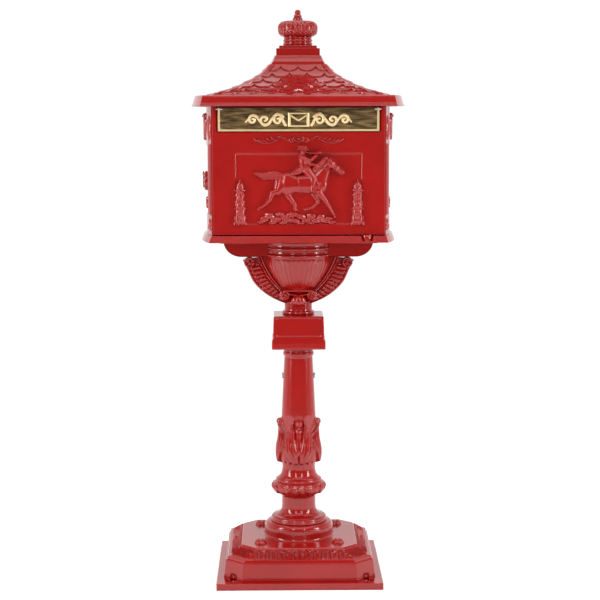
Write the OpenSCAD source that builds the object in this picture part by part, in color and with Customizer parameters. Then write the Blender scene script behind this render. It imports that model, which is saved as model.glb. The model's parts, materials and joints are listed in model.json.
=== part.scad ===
// Cast pedestal mailbox with a hinged front door, a letter flap and a side lock.
// Origin: middle of the base's underside. +Z up, front towards -Y. Millimetres.

/* [Base] */
// Side of the square base plate
plate_w = 296; // [286:1:310]
// Thickness of the base plate
plate_t = 12; // [10:0.5:14]
// Distance between anchor holes, both ways
anchor_pitch = 254; // [252:1:258]
// Diameter of an anchor hole
anchor_d = 11; // [9:0.5:12]
// Width across the chamfered block at its foot
block_w = 272; // [268:1:276]
// Height of the block's top edge
block_top_z = 44; // [40:1:46]
// Height of the step above the block
step_top_z = 49.5; // [48:0.5:52]
// Width of the plateau above the fluted slope
plateau_w = 204; // [196:1:212]
// Height of the plateau
plateau_z = 65; // [60:1:68]
// Radius of the round socket under the column
socket_r = 63.5; // [60:0.5:68]
// Height of the socket's top, where the column stands
socket_top_z = 91.5; // [90:0.5:94]

/* [Column] */
// Radius of the column's foot disc
foot_r = 52; // [48:0.5:56]
// Radius of the shaft at its lower end
shaft_low_r = 31.3; // [30:0.1:33]
// Radius of the shaft at its upper end
shaft_top_r = 26; // [25.5:0.1:28]
// Height of the column's top
column_top_z = 416; // [412:1:418]
// Radius of the hollow inside the column
column_bore_r = 20; // [18:0.5:21]
// Height of the two set screws
set_screw_z = 362; // [358:1:370]

/* [Capital] */
// Width of the capital's lower band
band_w = 97; // [94:1:100]
// Width of the capital's main block
block_main_w = 92.5; // [90:0.5:95]
// Height of the capital's top face
capital_top_z = 476; // [472:1:478]

/* [Bracket] */
// Height of the bracket's top, under the floor of the box
bracket_top_z = 612; // [611:0.5:612]
// Radius of the drum at the top of the bowl
drum_r = 63; // [60:0.5:66]
// Half length of the wings that carry the box
wing_half = 135; // [128:1:138]
// Half thickness of the wings
wing_half_y = 30; // [28:1:34]

/* [Box] */
// Half width of the box at the middle of its bowed sides
body_mid = 165.5; // [165:0.1:166]
// Half depth of the box
body_half_y = 104; // [103.8:0.1:104.2]
// Distance of the sides' arc centre beyond the middle
bow_c = 214.5; // [212:0.5:218]
// Thickness of the side and back walls
wall_t = 5; // [4:0.5:5]
// Height where the walls stand on the floor's rim
wall_low_z = 626.4; // [626.2:0.1:626.6]
// Height of the walls' top
wall_top_z = 858; // [857.5:0.1:858]

/* [Door] */
// Half width of the door
door_half = 151; // [150.5:0.1:151]
// Thickness of the door
door_t = 7; // [6.8:0.1:7]
// Height of the door's lower edge
door_low_z = 627.5; // [627.3:0.1:627.8]
// Height of the door's upper edge
door_top_z = 851.8; // [851.6:0.1:852]
// Distance of the pivot axis to the right of the middle
pivot_x = 120; // [119.5:0.1:120.5]
// Half width of the letter flap
flap_half = 140.75; // [139:0.25:141]
// Height of the letter flap's lower edge
flap_low_z = 809.2; // [808.8:0.1:810]
// Half width of the letter slot
slot_half = 122; // [110:1:126]

/* [Roof] */
// Half width of the eave at its lower edge
eave_mid = 191.7; // [190:0.1:193]
// Half depth of the eave at its lower edge
eave_half_y = 127.5; // [126:0.1:129]
// Height of the eave's lower edge
eave_low_z = 852.6; // [852.6:0.1:853]
// Thickness of the roof casting
roof_t = 4; // [3.5:0.1:4.5]

/* [Finial] */
// Height of the finial's tip above the ground
total_h = 1025; // [1022:1:1028]
// Largest radius of the ribbed onion
onion_r = 35.7; // [34:0.1:37]

/* [Hidden] */
$fn = 96;

coat = [0.68, 0.07, 0.07];
brass = [0.72, 0.58, 0.34];
steel = [0.72, 0.72, 0.74];

eps = 0.01;
fit_gap = 0.05;
loose_gap = 0.3;
far = 400;
bow_steps = 10;

// Base
base_chamfer = 33;
block_foot_h = 4.4;
block_slope = 4;
step_w = 258;
slope_w = 248;
base_wall = 8;
bolt_recess_r = 14;
bolt_recess_top = 22;
lip_h = 5;
lip_r = 60;
socket_flare = 4;
spigot_r = 44;
spigot_h = 9;

// Tie rod through the base, the column, the capital and the bracket
rod_r = 5;
rod_hole_r = 5.4;
rod_low_z = 44;
rod_top_z = 536;
nut_af = 17;
nut_h = 8;
washer_r = 12;
washer_t = 2.5;
base_seat_z = 58;
bracket_seat_z = 520;

// Column
torus_z = 156;
torus_r = 45;
torus_tube = 15;
neck_r = 30;
leaf_low_z = 196;
leaf_top_z = 284;
leaf_bulge = 9;
ring_r = 28;
ring_low_z = 401;
screw_r = 2.5;
set_screw_r = 3;

// Capital
plug_r = 19.5;
plug_low_z = 350;
capital_floor = 8;
band_top_z = 437;
capital_bore_r = 24;
panel_depth = 1.5;

// Bracket
ring_foot_r = 29.6;
ring_foot_h = 7;
neck_top_z = 499;
neck_bracket_r = 25;
bowl_low_z = 516;
bowl_rim_z = 583;
bowl_rim_r = 60;
bowl_wall = 6;
arm_half_y = 15;
wing_low_z = 583;
wing_low_half = 103;

// Box
tray_low_z = 614.6;
tray_mid = 174.5;
tray_half_y = 115;
tray_bevel = 4.3;
tray_pad_mid = 150;
tray_pad_half_y = 92;
tray_floor_top = 619.6;
front_y = -body_half_y;
door_back_y = front_y + door_t;
wall_front_y = door_back_y + 0.5;
wall_back_y = body_half_y - wall_t;
post_x = 148;
post_y = 60;
post_r = 6.5;
post_h = 18;
tray_bolt_x = 100;
tray_bolt_y = 18;
tray_bolt_r = 4;
swing_r = 32;

// Pivot of the door
pivot = [pivot_x, front_y];
pin_r = 2.5;
barrel_r = 8.5;
ledge_top_z = 617.3;
notch_r = 12.2;
notch_half = 9;
leaf_half = 8;
leaf_t = 3.5;

// Flap
flap_back_y = front_y + 3.4;
flap_front_y = front_y - 0.2;
flap_axis_y = front_y + 1.6;
flap_axis_z = 847.6;
flap_top_z = 849.8;
flap_pin_r = 1.6;
flap_border = 3.5;
flap_ground_depth = 1.1;
pocket_half = 142.3;
pocket_low_z = 807.6;
pocket_depth = 3.9;
slot_low_z = 813;
slot_top_z = 841;
rail_low_z = 843.5;
rail_half = 146;
rail_depth = 5;

// Lock, on an axis along X
lock_y = 0;
lock_z = 717;
pad_z = 719.5;
pad_r = 17.5;
pad_x = -169.3;
pad_root_x = -162;
inner_pad_x = -157;
inner_pad_r = 13;
flange_r = 10.5;
flange_t = 0.8;
lock_body_r = 8;
plug_lock_r = 5.5;
cam_x = -141.5;
cam_t = 2.5;
cam_len = 75;
cam_half = 4.5;
cam_boss_r = 7;
hook_inner = 67.2;
hook_reach = 12;
rivet_z = 732;
rivet_r = 1.8;
cover_t = 1.4;
cover_gap = 0.2;
rivet_head_t = 0.8;
catch_t = 3;
catch_x = -132;
catch_pin_y = -64;
catch_pin_z = 709.6;
catch_pin_r = 2.5;
catch_pin_x = -143.3;
catch_screw_x = -124;
catch_screw_zs = [catch_pin_z - 10, catch_pin_z + 10];
thread_r = 1.5;
back_screw_x = 140;
back_screw_zs = [650, 830];
back_block_half = 8;
back_block_depth = 16;
panel_half = 111.5;
panel_low_z = 646;
panel_high_z = 771;
door_panel_depth = 1.5;
lower_leaf_zs = [636, 650];
upper_leaf_z = 848;
upper_leaf_dx = 4.5;
small_screw_r = 1.5;
small_head_r = 2.8;
small_head_t = 1.8;
screw_head_r = 4.8;
screw_head_t = 3;
flap_disc_z = 833;
flap_disc_r = 10;
flap_seat_r = 12;
arm_eye = [87, 567];
arm_eye_r = 13;
arm_eye_hole_r = 9;
bush_flange_r = 10;
bush_r = 6.6;
bush_hole_r = 7.2;

// Roof: height, half width at the middle of the bowed side and half depth
roof_levels = [
    [eave_low_z, eave_mid, eave_half_y],
    [871.5, 185, 121],
    [873.5, 168, 115],
    [884.6, 119, 89],
    [898.4, 87, 70],
    [911, 64, 56],
    [925, 54, 50],
    [942.5, 43, 41]
];
soffit_z = wall_top_z;
soffit_t = 4;
cap_low_z = 942.5;
cap_top_z = 955;
cap_w = 77.5;
plinth_w = 67;
plinth_top_z = 960;
stud_r = 3;
stud_low_z = 924;
stud_top_z = 985;

// Points along a circular arc
function arc(centre, r, from, to, steps) =
    [for (i = [0:steps]) let (a = from + (to - from) * i / steps) centre + r * [cos(a), sin(a)]];

// Half width of a bowed plan at a distance y from the middle
function bowed_x(mid, y) = sqrt(pow(bow_c + mid, 2) - y * y) - bow_c;

// Plan with a flat front and back and bowed sides
module bowed_plan(mid, half_y) {
    intersection() {
        translate([-bow_c, 0]) circle(r = bow_c + mid);
        translate([bow_c, 0]) circle(r = bow_c + mid);
        square([2 * mid, 2 * half_y], center = true);
    }
}

// Corners of a bowed plan at one level: height, half width at the middle and half depth
function plan_points(level) = let (n = bow_steps) concat(
    [for (i = [0:n]) let (y = level[2] * (2 * i / n - 1)) [bowed_x(level[1], y), y, level[0]]],
    [for (i = [0:n]) let (y = level[2] * (1 - 2 * i / n)) [-bowed_x(level[1], y), y, level[0]]]);

// Solid through a list of levels with bowed plans
module bowed_loft(levels) {
    count = 2 * (bow_steps + 1);
    top = count * (len(levels) - 1);
    polyhedron(
        points = [for (level = levels) each plan_points(level)],
        faces = concat(
            [[for (i = [0:count - 1]) i]],
            [for (k = [0:count:top - 1], i = [0:count - 1]) let (next = (i + 1) % count) each [
                [k + i, k + count + i, k + count + next],
                [k + i, k + count + next, k + next]
            ]],
            [[for (i = [count - 1:-1:0]) top + i]]
        ));
}

// Square plan with chamfered corners
module chamfered_square(w, chamfer) {
    half = w / 2;
    inner = half - chamfer;
    polygon([
        [half, -inner], [half, inner], [inner, half], [-inner, half],
        [-half, inner], [-half, -inner], [-inner, -half], [inner, -half]
    ]);
}

// Cylinder along X from x0 to x1
module x_cylinder(x0, x1, y, z, r) {
    translate([x0, y, z]) rotate([0, 90, 0]) cylinder(h = x1 - x0, r = r);
}

// Cylinder along Y from y0 to y1
module y_cylinder(y0, y1, x, z, r) {
    translate([x, y0, z]) rotate([-90, 0, 0]) cylinder(h = y1 - y0, r = r);
}

// Box between two corners
module block(low, high) {
    translate(low) cube(high - low);
}

// Children repeated at four places, mirrored in X and Y
module four_places(x, y) {
    for (sx = [-1, 1], sy = [-1, 1]) translate([sx * x, sy * y, 0]) children();
}

module hexagon_nut(z, height, across, hole_r) {
    translate([0, 0, z]) difference() {
        cylinder(h = height, r = across / sqrt(3), $fn = 6);
        translate([0, 0, -1]) cylinder(h = height + 2, r = hole_r);
    }
}

module base_casting() {
    color(coat) difference() {
        union() {
            block([-plate_w / 2, -plate_w / 2, 0], [plate_w / 2, plate_w / 2, plate_t]);
            hull() {
                translate([0, 0, plate_t]) linear_extrude(block_foot_h)
                    chamfered_square(block_w, base_chamfer);
                translate([0, 0, block_top_z - eps]) linear_extrude(eps)
                    chamfered_square(block_w - 2 * block_slope, base_chamfer);
            }
            translate([0, 0, block_top_z]) linear_extrude(step_top_z - block_top_z)
                chamfered_square(step_w, base_chamfer - 3);
            hull() {
                translate([0, 0, step_top_z]) linear_extrude(eps)
                    chamfered_square(slope_w, base_chamfer - 4);
                translate([0, 0, plateau_z - eps]) linear_extrude(eps)
                    chamfered_square(plateau_w, base_chamfer - 8);
            }
            base_socket();
        }
        base_hollow();
        four_places(anchor_pitch / 2, anchor_pitch / 2) {
            translate([0, 0, -1]) cylinder(h = plate_t + 2, d = anchor_d);
            translate([0, 0, plate_t]) cylinder(h = bolt_recess_top - plate_t, r = bolt_recess_r);
        }
        translate([0, 0, base_seat_z - 1]) cylinder(h = 60, r = rod_hole_r);
        translate([0, 0, socket_top_z - spigot_h - 0.5])
            cylinder(h = spigot_h + 1, r = spigot_r + loose_gap);
    }
}

// Round socket with a flared foot and a stepped lip
module base_socket() {
    foot_r = socket_r + socket_flare;
    translate([0, 0, plateau_z - 1]) rotate_extrude()
        polygon(concat(
            [[0, 0], [foot_r, 0]],
            arc([foot_r, socket_flare + 1], socket_flare, -90, -180, 6),
            [[socket_r, socket_top_z - plateau_z + 1 - lip_h],
             [lip_r, socket_top_z - plateau_z + 1],
             [0, socket_top_z - plateau_z + 1]]
        ));
}

// Hollow underside of the base
module base_hollow() {
    translate([0, 0, -1]) linear_extrude(block_top_z - base_wall + 1)
        chamfered_square(block_w - 2 * (base_wall + block_slope), base_chamfer + 4);
    translate([0, 0, block_top_z - base_wall - 1])
        linear_extrude(base_seat_z - block_top_z + base_wall + 1)
        chamfered_square(plateau_w - 2 * base_wall, base_chamfer - 8);
}

module column() {
    color(coat) difference() {
        rotate_extrude() column_outline();
        cylinder(h = column_top_z + 1, r = column_bore_r);
        for (side = [-1, 1]) x_cylinder(
            side < 0 ? -far / 4 : column_bore_r - 2, side < 0 ? 2 - column_bore_r : far / 4,
            0, set_screw_z, set_screw_r + loose_gap);
    }
}

// Half outline of the column: spigot, foot, torus, leaf band, shaft and neck ring
module column_outline() {
    polygon(concat(
        [[0, socket_top_z - spigot_h], [spigot_r, socket_top_z - spigot_h],
         [spigot_r, socket_top_z], [foot_r, socket_top_z],
         [foot_r, socket_top_z + 8], [foot_r - 2, socket_top_z + 11.5]],
        arc([foot_r - 2, socket_top_z + 30], 18.5, -90, -180, 6),
        arc([torus_r - torus_tube, torus_z], torus_tube, -80, 80, 10),
        [[neck_r, torus_z + 17], [neck_r, leaf_low_z], [neck_r + leaf_bulge - 3, leaf_low_z + 12],
         [neck_r + leaf_bulge, leaf_low_z + 28], [neck_r + leaf_bulge - 3, leaf_low_z + 48],
         [shaft_low_r, leaf_top_z - 20], [shaft_low_r, leaf_top_z + 7],
         [shaft_top_r, ring_low_z - 3], [ring_r, ring_low_z], [ring_r, column_top_z],
         [0, column_top_z]]
    ));
}

module column_screws() {
    color(steel) for (side = [-1, 1]) rotate(side < 0 ? 180 : 0) {
        x_cylinder(plug_r - 8, shaft_top_r + 2, 0, set_screw_z, set_screw_r);
        x_cylinder(shaft_top_r + 2, shaft_top_r + 4.5, 0, set_screw_z, set_screw_r + 2.2);
    }
}

module capital_block() {
    color(coat) difference() {
        union() {
            translate([0, 0, column_top_z]) linear_extrude(band_top_z - column_top_z)
                square(band_w, center = true);
            translate([0, 0, band_top_z]) linear_extrude(capital_top_z - band_top_z)
                square(block_main_w, center = true);
            translate([0, 0, plug_low_z]) cylinder(h = column_top_z - plug_low_z + 1, r = plug_r);
        }
        translate([0, 0, column_top_z + capital_floor]) cylinder(h = far, r = capital_bore_r);
        translate([0, 0, plug_low_z - 1]) cylinder(h = far, r = rod_hole_r);
        for (a = [0:90:270]) rotate(a) block(
            [-block_main_w / 2 + 9, -block_main_w / 2 - 1, band_top_z + 7],
            [block_main_w / 2 - 9, -block_main_w / 2 + panel_depth, capital_top_z - 6]);
        for (side = [-1, 1]) x_cylinder(
            side < 0 ? -far / 8 : plug_r - 8.5, side < 0 ? 8.5 - plug_r : far / 8,
            0, set_screw_z, set_screw_r + loose_gap);
    }
}

module urn_bracket() {
    color(coat) difference() {
        union() {
            rotate_extrude() bowl_outline();
            for (side = [0, 180]) rotate(side) scroll_arm();
            translate([0, wing_half_y, 0]) rotate([90, 0, 0])
                linear_extrude(2 * wing_half_y) wing_outline();
        }
        bowl_hollow();
        translate([0, 0, capital_top_z - 1]) cylinder(h = far / 4, r = rod_hole_r);
        four_places(tray_bolt_x, tray_bolt_y)
            translate([0, 0, bracket_top_z - 22]) cylinder(h = 30, r = tray_bolt_r + loose_gap);
    }
}

// Half outline of the neck, the bowl and the drum
module bowl_outline() {
    polygon(concat(
        [[0, capital_top_z], [ring_foot_r, capital_top_z],
         [ring_foot_r, capital_top_z + ring_foot_h],
         [neck_bracket_r, capital_top_z + ring_foot_h + 2], [neck_bracket_r, neck_top_z],
         [neck_bracket_r - 5, bowl_low_z - 6], [neck_bracket_r - 2, bowl_low_z]],
        [for (i = [1:8]) [bowl_curve(i / 8), bowl_low_z + (bowl_rim_z - bowl_low_z) * i / 8]],
        [[drum_r, bowl_rim_z + 2], [drum_r, bracket_top_z], [0, bracket_top_z]]
    ));
}

// Radius of the bowl at a share of its height
function bowl_curve(t) = 23 + (bowl_rim_r - 23) * sin(90 * t);

module bowl_hollow() {
    translate([0, 0, bracket_seat_z]) rotate_extrude() polygon(concat(
        [[0, 0], [14, 0]],
        [for (i = [2:8]) [bowl_curve(i / 8) - bowl_wall - 2,
                          (bowl_rim_z - bowl_low_z) * i / 8 - 4]],
        [[drum_r - bowl_wall, far / 4], [0, far / 4]]
    ));
}

// Outline of the wings, with quarter-round ends
module wing_outline() {
    drop = bracket_top_z - wing_low_z;
    reach = wing_half - wing_low_half;
    polygon(concat(
        [[-wing_half, bracket_top_z]],
        [for (i = [0:8]) [-wing_low_half - reach * cos(90 * i / 8),
                          bracket_top_z - drop * sin(90 * i / 8)]],
        [for (i = [8:-1:0]) [wing_low_half + reach * cos(90 * i / 8),
                             bracket_top_z - drop * sin(90 * i / 8)]],
        [[wing_half, bracket_top_z]]
    ));
}

// Scroll arm from the neck to the wing, with a volute at its end
module scroll_arm() {
    arm_tip = [101, 573];
    translate([0, arm_half_y, 0]) rotate([90, 0, 0]) linear_extrude(2 * arm_half_y) {
        polygon([
            [20, 495], [26, 497], [44.5, 505], [63, 517], [81.6, 536], [92.7, 559], arm_tip,
            [101, 584], [56, 584], [52, 565], [44, 549], [32, 532], [20, 518]
        ]);
        translate(arm_eye) circle(r = arm_eye_r);
    }
    translate([arm_eye[0], arm_half_y + 4, arm_eye[1]]) rotate([90, 0, 0])
        cylinder(h = 2 * arm_half_y + 8, r = arm_eye_hole_r);
}

module tie_rod() {
    color(steel) translate([0, 0, rod_low_z]) cylinder(h = rod_top_z - rod_low_z, r = rod_r);
}

module tie_rod_washers() {
    color(steel) for (z = [base_seat_z - washer_t, bracket_seat_z])
        translate([0, 0, z]) difference() {
            cylinder(h = washer_t, r = washer_r);
            translate([0, 0, -1]) cylinder(h = washer_t + 2, r = rod_r + loose_gap);
        }
}

module tie_rod_nuts() {
    color(steel) {
        hexagon_nut(base_seat_z - washer_t - nut_h, nut_h, nut_af, rod_r + fit_gap);
        hexagon_nut(bracket_seat_z + washer_t, nut_h, nut_af, rod_r + fit_gap);
    }
}

module floor_tray() {
    color(coat) difference() {
        union() {
            translate([0, 0, bracket_top_z]) linear_extrude(tray_low_z - bracket_top_z + 1)
                bowed_plan(tray_pad_mid, tray_pad_half_y);
            bowed_loft([
                [tray_low_z, tray_mid, tray_half_y],
                [wall_low_z, tray_mid - tray_bevel, tray_half_y - tray_bevel - 0.5]
            ]);
        }
        translate([0, 0, tray_floor_top]) linear_extrude(far)
            bowed_plan(body_mid - wall_t - 3, body_half_y - door_t - 5);
        translate([pivot[0], pivot[1], ledge_top_z]) {
            cylinder(h = 20, r = notch_r);
            block([-notch_half, -20, 0], [notch_half, 0, 20]);
        }
        translate([pivot[0], pivot[1], tray_low_z - 1]) cylinder(h = 20, r = pin_r + fit_gap);
        four_places(tray_bolt_x, tray_bolt_y)
            translate([0, 0, bracket_top_z - 1]) cylinder(h = 20, r = tray_bolt_r + loose_gap);
        four_places(post_x, post_y) {
            translate([0, 0, tray_low_z - 5]) cylinder(h = 8, r = 5.3);
            translate([0, 0, tray_low_z]) cylinder(h = 20, r = screw_r + loose_gap);
        }
    }
}

module floor_bolts() {
    color(steel) four_places(tray_bolt_x, tray_bolt_y) {
        translate([0, 0, bracket_top_z - 20])
            cylinder(h = tray_floor_top - bracket_top_z + 20, r = tray_bolt_r);
        translate([0, 0, tray_floor_top]) cylinder(h = 5, r = 7.5, $fn = 6);
    }
}

// Bowed wall on the +X side, from y0 to y1
module bowed_wall(y0, y1) {
    translate([0, 0, wall_low_z]) linear_extrude(wall_top_z - wall_low_z) intersection() {
        difference() {
            translate([-bow_c, 0]) circle(r = bow_c + body_mid);
            translate([-bow_c, 0]) circle(r = bow_c + body_mid - wall_t);
        }
        translate([0, y0]) square([far, y1 - y0]);
    }
}

// Side wall on the +X side with its posts, screw holes and sunk panel
module side_wall() {
    difference() {
        union() {
            bowed_wall(wall_front_y, wall_back_y);
            intersection() {
                union() {
                    for (y = [-post_y, post_y], z = [wall_low_z, wall_top_z - post_h])
                        translate([post_x, y, z]) cylinder(h = post_h, r = post_r);
                    for (y = [-post_y, post_y], z = [wall_low_z, wall_top_z - post_h])
                        block([post_x, y - post_r, z], [far / 2, y + post_r, z + post_h]);
                    for (z = back_screw_zs)
                        block([back_screw_x - 6, wall_back_y - back_block_depth, z - back_block_half],
                    [far / 2, wall_back_y, z + back_block_half]);
                }
                translate([0, 0, wall_low_z]) linear_extrude(wall_top_z - wall_low_z)
                    bowed_plan(body_mid - 1, wall_back_y);
            }
        }
        for (y = [-post_y, post_y], z = [wall_low_z - 1, wall_top_z - post_h - 1])
            translate([post_x, y, z]) cylinder(h = post_h + 2, r = screw_r + fit_gap);
        for (z = back_screw_zs)
            y_cylinder(wall_back_y - 12, wall_back_y + 1, back_screw_x, z, screw_r + fit_gap);
    }
}

module left_wall() {
    color(coat) difference() {
        union() {
            mirror([1, 0, 0]) side_wall();
            x_cylinder(pad_x, pad_root_x, lock_y, pad_z, pad_r);
            x_cylinder(pad_root_x, inner_pad_x, lock_y, lock_z, inner_pad_r);
        }
        x_cylinder(-far / 2, -140, lock_y, lock_z, lock_body_r + loose_gap);
        x_cylinder(pad_x - 1, pad_x + 6, lock_y, rivet_z, rivet_r + fit_gap);
    }
}

module right_wall() {
    color(coat) difference() {
        side_wall();
        translate([pivot[0], pivot[1], wall_low_z - 1])
            cylinder(h = wall_top_z - wall_low_z + 2, r = swing_r);
    }
}

module back_wall() {
    color(coat) difference() {
        block([-door_half, wall_back_y, wall_low_z], [door_half, body_half_y, wall_top_z]);
        for (x = [-back_screw_x, back_screw_x], z = back_screw_zs)
            y_cylinder(wall_back_y - 1, body_half_y + 1, x, z, screw_r + loose_gap);
    }
}

module floor_screws() {
    color(steel) four_places(post_x, post_y) {
        translate([0, 0, tray_low_z + 3]) cylinder(h = 22, r = screw_r);
        translate([0, 0, tray_low_z]) cylinder(h = screw_head_t, r = screw_head_r);
    }
}

module back_screws() {
    color(steel) for (x = [-back_screw_x, back_screw_x], z = back_screw_zs) {
        y_cylinder(wall_back_y - 11, body_half_y, x, z, screw_r);
        y_cylinder(body_half_y, body_half_y + 2.6, x, z, screw_head_r);
    }
}

module roof() {
    color(coat) difference() {
        union() {
            difference() {
                bowed_loft(roof_levels);
                bowed_loft([for (i = [0:len(roof_levels) - 1]) inner_level(i)]);
            }
            translate([0, 0, soffit_z]) linear_extrude(soffit_t) difference() {
                bowed_plan(eave_mid - 5, eave_half_y - 5);
                bowed_plan(body_mid - 24, body_half_y - 22);
            }
        }
        translate([pivot[0], pivot[1], soffit_z - 1]) cylinder(h = soffit_t + 2, r = bush_hole_r);
        four_places(post_x, post_y) translate([0, 0, soffit_z - 1])
            cylinder(h = soffit_t + 2, r = screw_r + loose_gap);
        translate([0, 0, stud_low_z]) cylinder(h = 40, r = stud_r + loose_gap);
    }
}

// Level i of the roof's hollow, which starts just below the eave
function inner_level(i) = [
    roof_levels[i][0] - (i == 0 ? 0.5 : roof_t),
    roof_levels[i][1] - roof_t,
    roof_levels[i][2] - roof_t
];

module roof_screws() {
    color(steel) four_places(post_x, post_y) {
        translate([0, 0, wall_top_z - post_h]) cylinder(h = post_h + soffit_t + 2, r = screw_r);
        translate([0, 0, wall_top_z - post_h - 3]) cylinder(h = screw_head_t, r = screw_head_r);
        hexagon_nut(soffit_z + soffit_t, 4, 8, screw_r + fit_gap);
    }
}

module roof_cap() {
    color(coat) difference() {
        union() {
            translate([0, 0, cap_low_z]) linear_extrude(cap_top_z - cap_low_z)
                square(cap_w, center = true);
            translate([0, 0, cap_top_z]) linear_extrude(plinth_top_z - cap_top_z)
                square(plinth_w, center = true);
        }
        translate([0, 0, cap_low_z - 1]) cylinder(h = 40, r = stud_r + loose_gap);
    }
}

module finial() {
    color(coat) difference() {
        rotate_extrude() polygon(concat(
            [[0, plinth_top_z], [26.4, plinth_top_z], [26.4, plinth_top_z + 4.5],
             [23, plinth_top_z + 6], [26.4, plinth_top_z + 8], [26.4, plinth_top_z + 11],
             [22, plinth_top_z + 13.5]],
            [for (a = [-60:15:60]) [onion_r - 12 + 12 * cos(a), 989 + 14 * sin(a)]],
            [[24, 1005.6], [8.5, 1006], [8.5, 1010], [5.7, 1013]],
            arc([0, total_h - 6], 6, -20, 90, 6)
        ));
        translate([0, 0, plinth_top_z - 1]) cylinder(h = stud_top_z - plinth_top_z + 2,
                                                     r = stud_r + fit_gap);
    }
}

module finial_stud() {
    color(steel) translate([0, 0, stud_low_z + 0.5])
        cylinder(h = stud_top_z - stud_low_z - 0.5, r = stud_r);
}

module finial_nut() {
    color(steel) hexagon_nut(cap_low_z - roof_t - 5.2, 5, 10, stud_r + fit_gap);
}

module lower_hinge_pin() {
    color(steel) translate([pivot[0], pivot[1], 0]) {
        translate([0, 0, tray_low_z]) cylinder(h = door_low_z - tray_low_z - 0.6, r = pin_r);
    }
}

module upper_pivot_bush() {
    color(brass) translate([pivot[0], pivot[1], 0]) difference() {
        union() {
            translate([0, 0, soffit_z]) cylinder(h = soffit_t, r = bush_r);
            translate([0, 0, soffit_z + soffit_t]) cylinder(h = 2.5, r = bush_flange_r);
        }
        translate([0, 0, soffit_z - 1]) cylinder(h = 20, r = pin_r + fit_gap);
    }
}

module door_panel() {
    chamfer = 3;
    color(coat) difference() {
        union() {
            difference() {
                translate([0, 0, door_low_z]) linear_extrude(door_top_z - door_low_z) polygon([
                    [-door_half, front_y], [door_half, front_y],
                    [door_half, door_back_y - chamfer], [door_half - chamfer, door_back_y],
                    [chamfer - door_half, door_back_y], [-door_half, door_back_y - chamfer]
                ]);
                block([-pocket_half, front_y - 1, pocket_low_z],
                      [pocket_half, front_y + pocket_depth, door_top_z + 1]);
                block([-pocket_half, front_y - 1, slot_top_z + 0.5],
                      [pocket_half, door_back_y + 1, door_top_z + 1]);
            }
            block([-rail_half, door_back_y - 2, rail_low_z],
                  [rail_half, door_back_y + rail_depth, door_top_z]);
            for (side = [-1, 1]) block(
                [side < 0 ? -rail_half : slot_half + 4, door_back_y - 1, pocket_low_z],
                [side < 0 ? -slot_half - 4 : rail_half, door_back_y + rail_depth, door_top_z]);
        }
        block([-slot_half, front_y - 1, slot_low_z],
              [slot_half, door_back_y + 1, slot_top_z + 1]);
        block([-panel_half, front_y - 1, panel_low_z],
            [panel_half, front_y + door_panel_depth, panel_high_z]);
        for (side = [-1, 1]) x_cylinder(
            side < 0 ? -door_half + 1 : flap_half - 4, side < 0 ? 4 - flap_half : door_half - 1,
            flap_axis_y, flap_axis_z, flap_pin_r + fit_gap);
        for (x = [-upper_leaf_dx, upper_leaf_dx])
            y_cylinder(door_back_y - 1, door_back_y + rail_depth + 1,
                                         pivot_x + x, upper_leaf_z, small_screw_r + fit_gap);
        for (z = lower_leaf_zs)
            y_cylinder(front_y + 2.5, door_back_y + 1, pivot_x, z, small_screw_r + fit_gap);
        for (z = catch_screw_zs)
            y_cylinder(front_y + 2.5, door_back_y + 1, catch_screw_x, z, thread_r + fit_gap);
    }
}

module door_hinge_lower() {
    back = door_back_y;
    color(coat) difference() {
        union() {
            translate([pivot[0], pivot[1], ledge_top_z + loose_gap])
                cylinder(h = door_low_z - ledge_top_z - loose_gap, r = barrel_r);
            block([pivot_x - 5, front_y + 3, ledge_top_z + loose_gap],
                  [pivot_x + 5, back + leaf_t, door_low_z]);
            block([pivot_x - leaf_half, back, door_low_z - 1],
                  [pivot_x + leaf_half, back + leaf_t, 656]);
        }
        translate([pivot[0], pivot[1], ledge_top_z - 1]) cylinder(h = 20, r = pin_r + fit_gap);
        for (z = lower_leaf_zs)
            y_cylinder(back - 1, back + leaf_t + 1, pivot_x, z, small_screw_r + loose_gap);
    }
}

module door_hinge_upper() {
    back = door_back_y + rail_depth;
    tab_low = door_top_z + 0.6;
    color(coat) difference() {
        union() {
            block([pivot_x - leaf_half, back, rail_low_z],
                  [pivot_x + leaf_half, back + leaf_t, tab_low + 3.4]);
            block([pivot_x - leaf_half, front_y - 6, tab_low],
                  [pivot_x + leaf_half, back + leaf_t, tab_low + 3.4]);
            translate([pivot[0], pivot[1], tab_low]) cylinder(h = 15, r = pin_r);
        }
        for (x = [-upper_leaf_dx, upper_leaf_dx])
            y_cylinder(back - 1, back + leaf_t + 1, pivot_x + x, upper_leaf_z,
                                         small_screw_r + loose_gap);
    }
}

// Screw along Y whose head rests on the +Y side of the face at y
module small_screw(x, y, z, length) {
    y_cylinder(y - length, y, x, z, small_screw_r);
    y_cylinder(y, y + small_head_t, x, z, small_head_r);
}

module hinge_screws() {
    color(steel) {
        for (z = lower_leaf_zs) small_screw(pivot_x, door_back_y + leaf_t, z, leaf_t + 4);
        for (x = [-upper_leaf_dx, upper_leaf_dx])
            small_screw(pivot_x + x, door_back_y + rail_depth + leaf_t, upper_leaf_z, leaf_t + 5);
    }
}

// Keeper: an arm that reaches back from the door, with a cross pin for the cam's hook
module door_catch() {
    color(steel) {
        difference() {
            union() {
                block([catch_x, door_back_y, catch_pin_z - 14],
                      [catch_x + 14, door_back_y + catch_t, catch_pin_z + 14]);
                block([catch_x, door_back_y, catch_pin_z - 6],
                      [catch_x + catch_t, catch_pin_y + 5, catch_pin_z + 6]);
            }
            for (z = catch_screw_zs) y_cylinder(door_back_y - 1, door_back_y + catch_t + 1,
                                                catch_screw_x, z, thread_r + loose_gap);
            x_cylinder(catch_x - 1, catch_x + catch_t + 1, catch_pin_y, catch_pin_z,
                       catch_pin_r + fit_gap);
        }
    }
}

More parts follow.
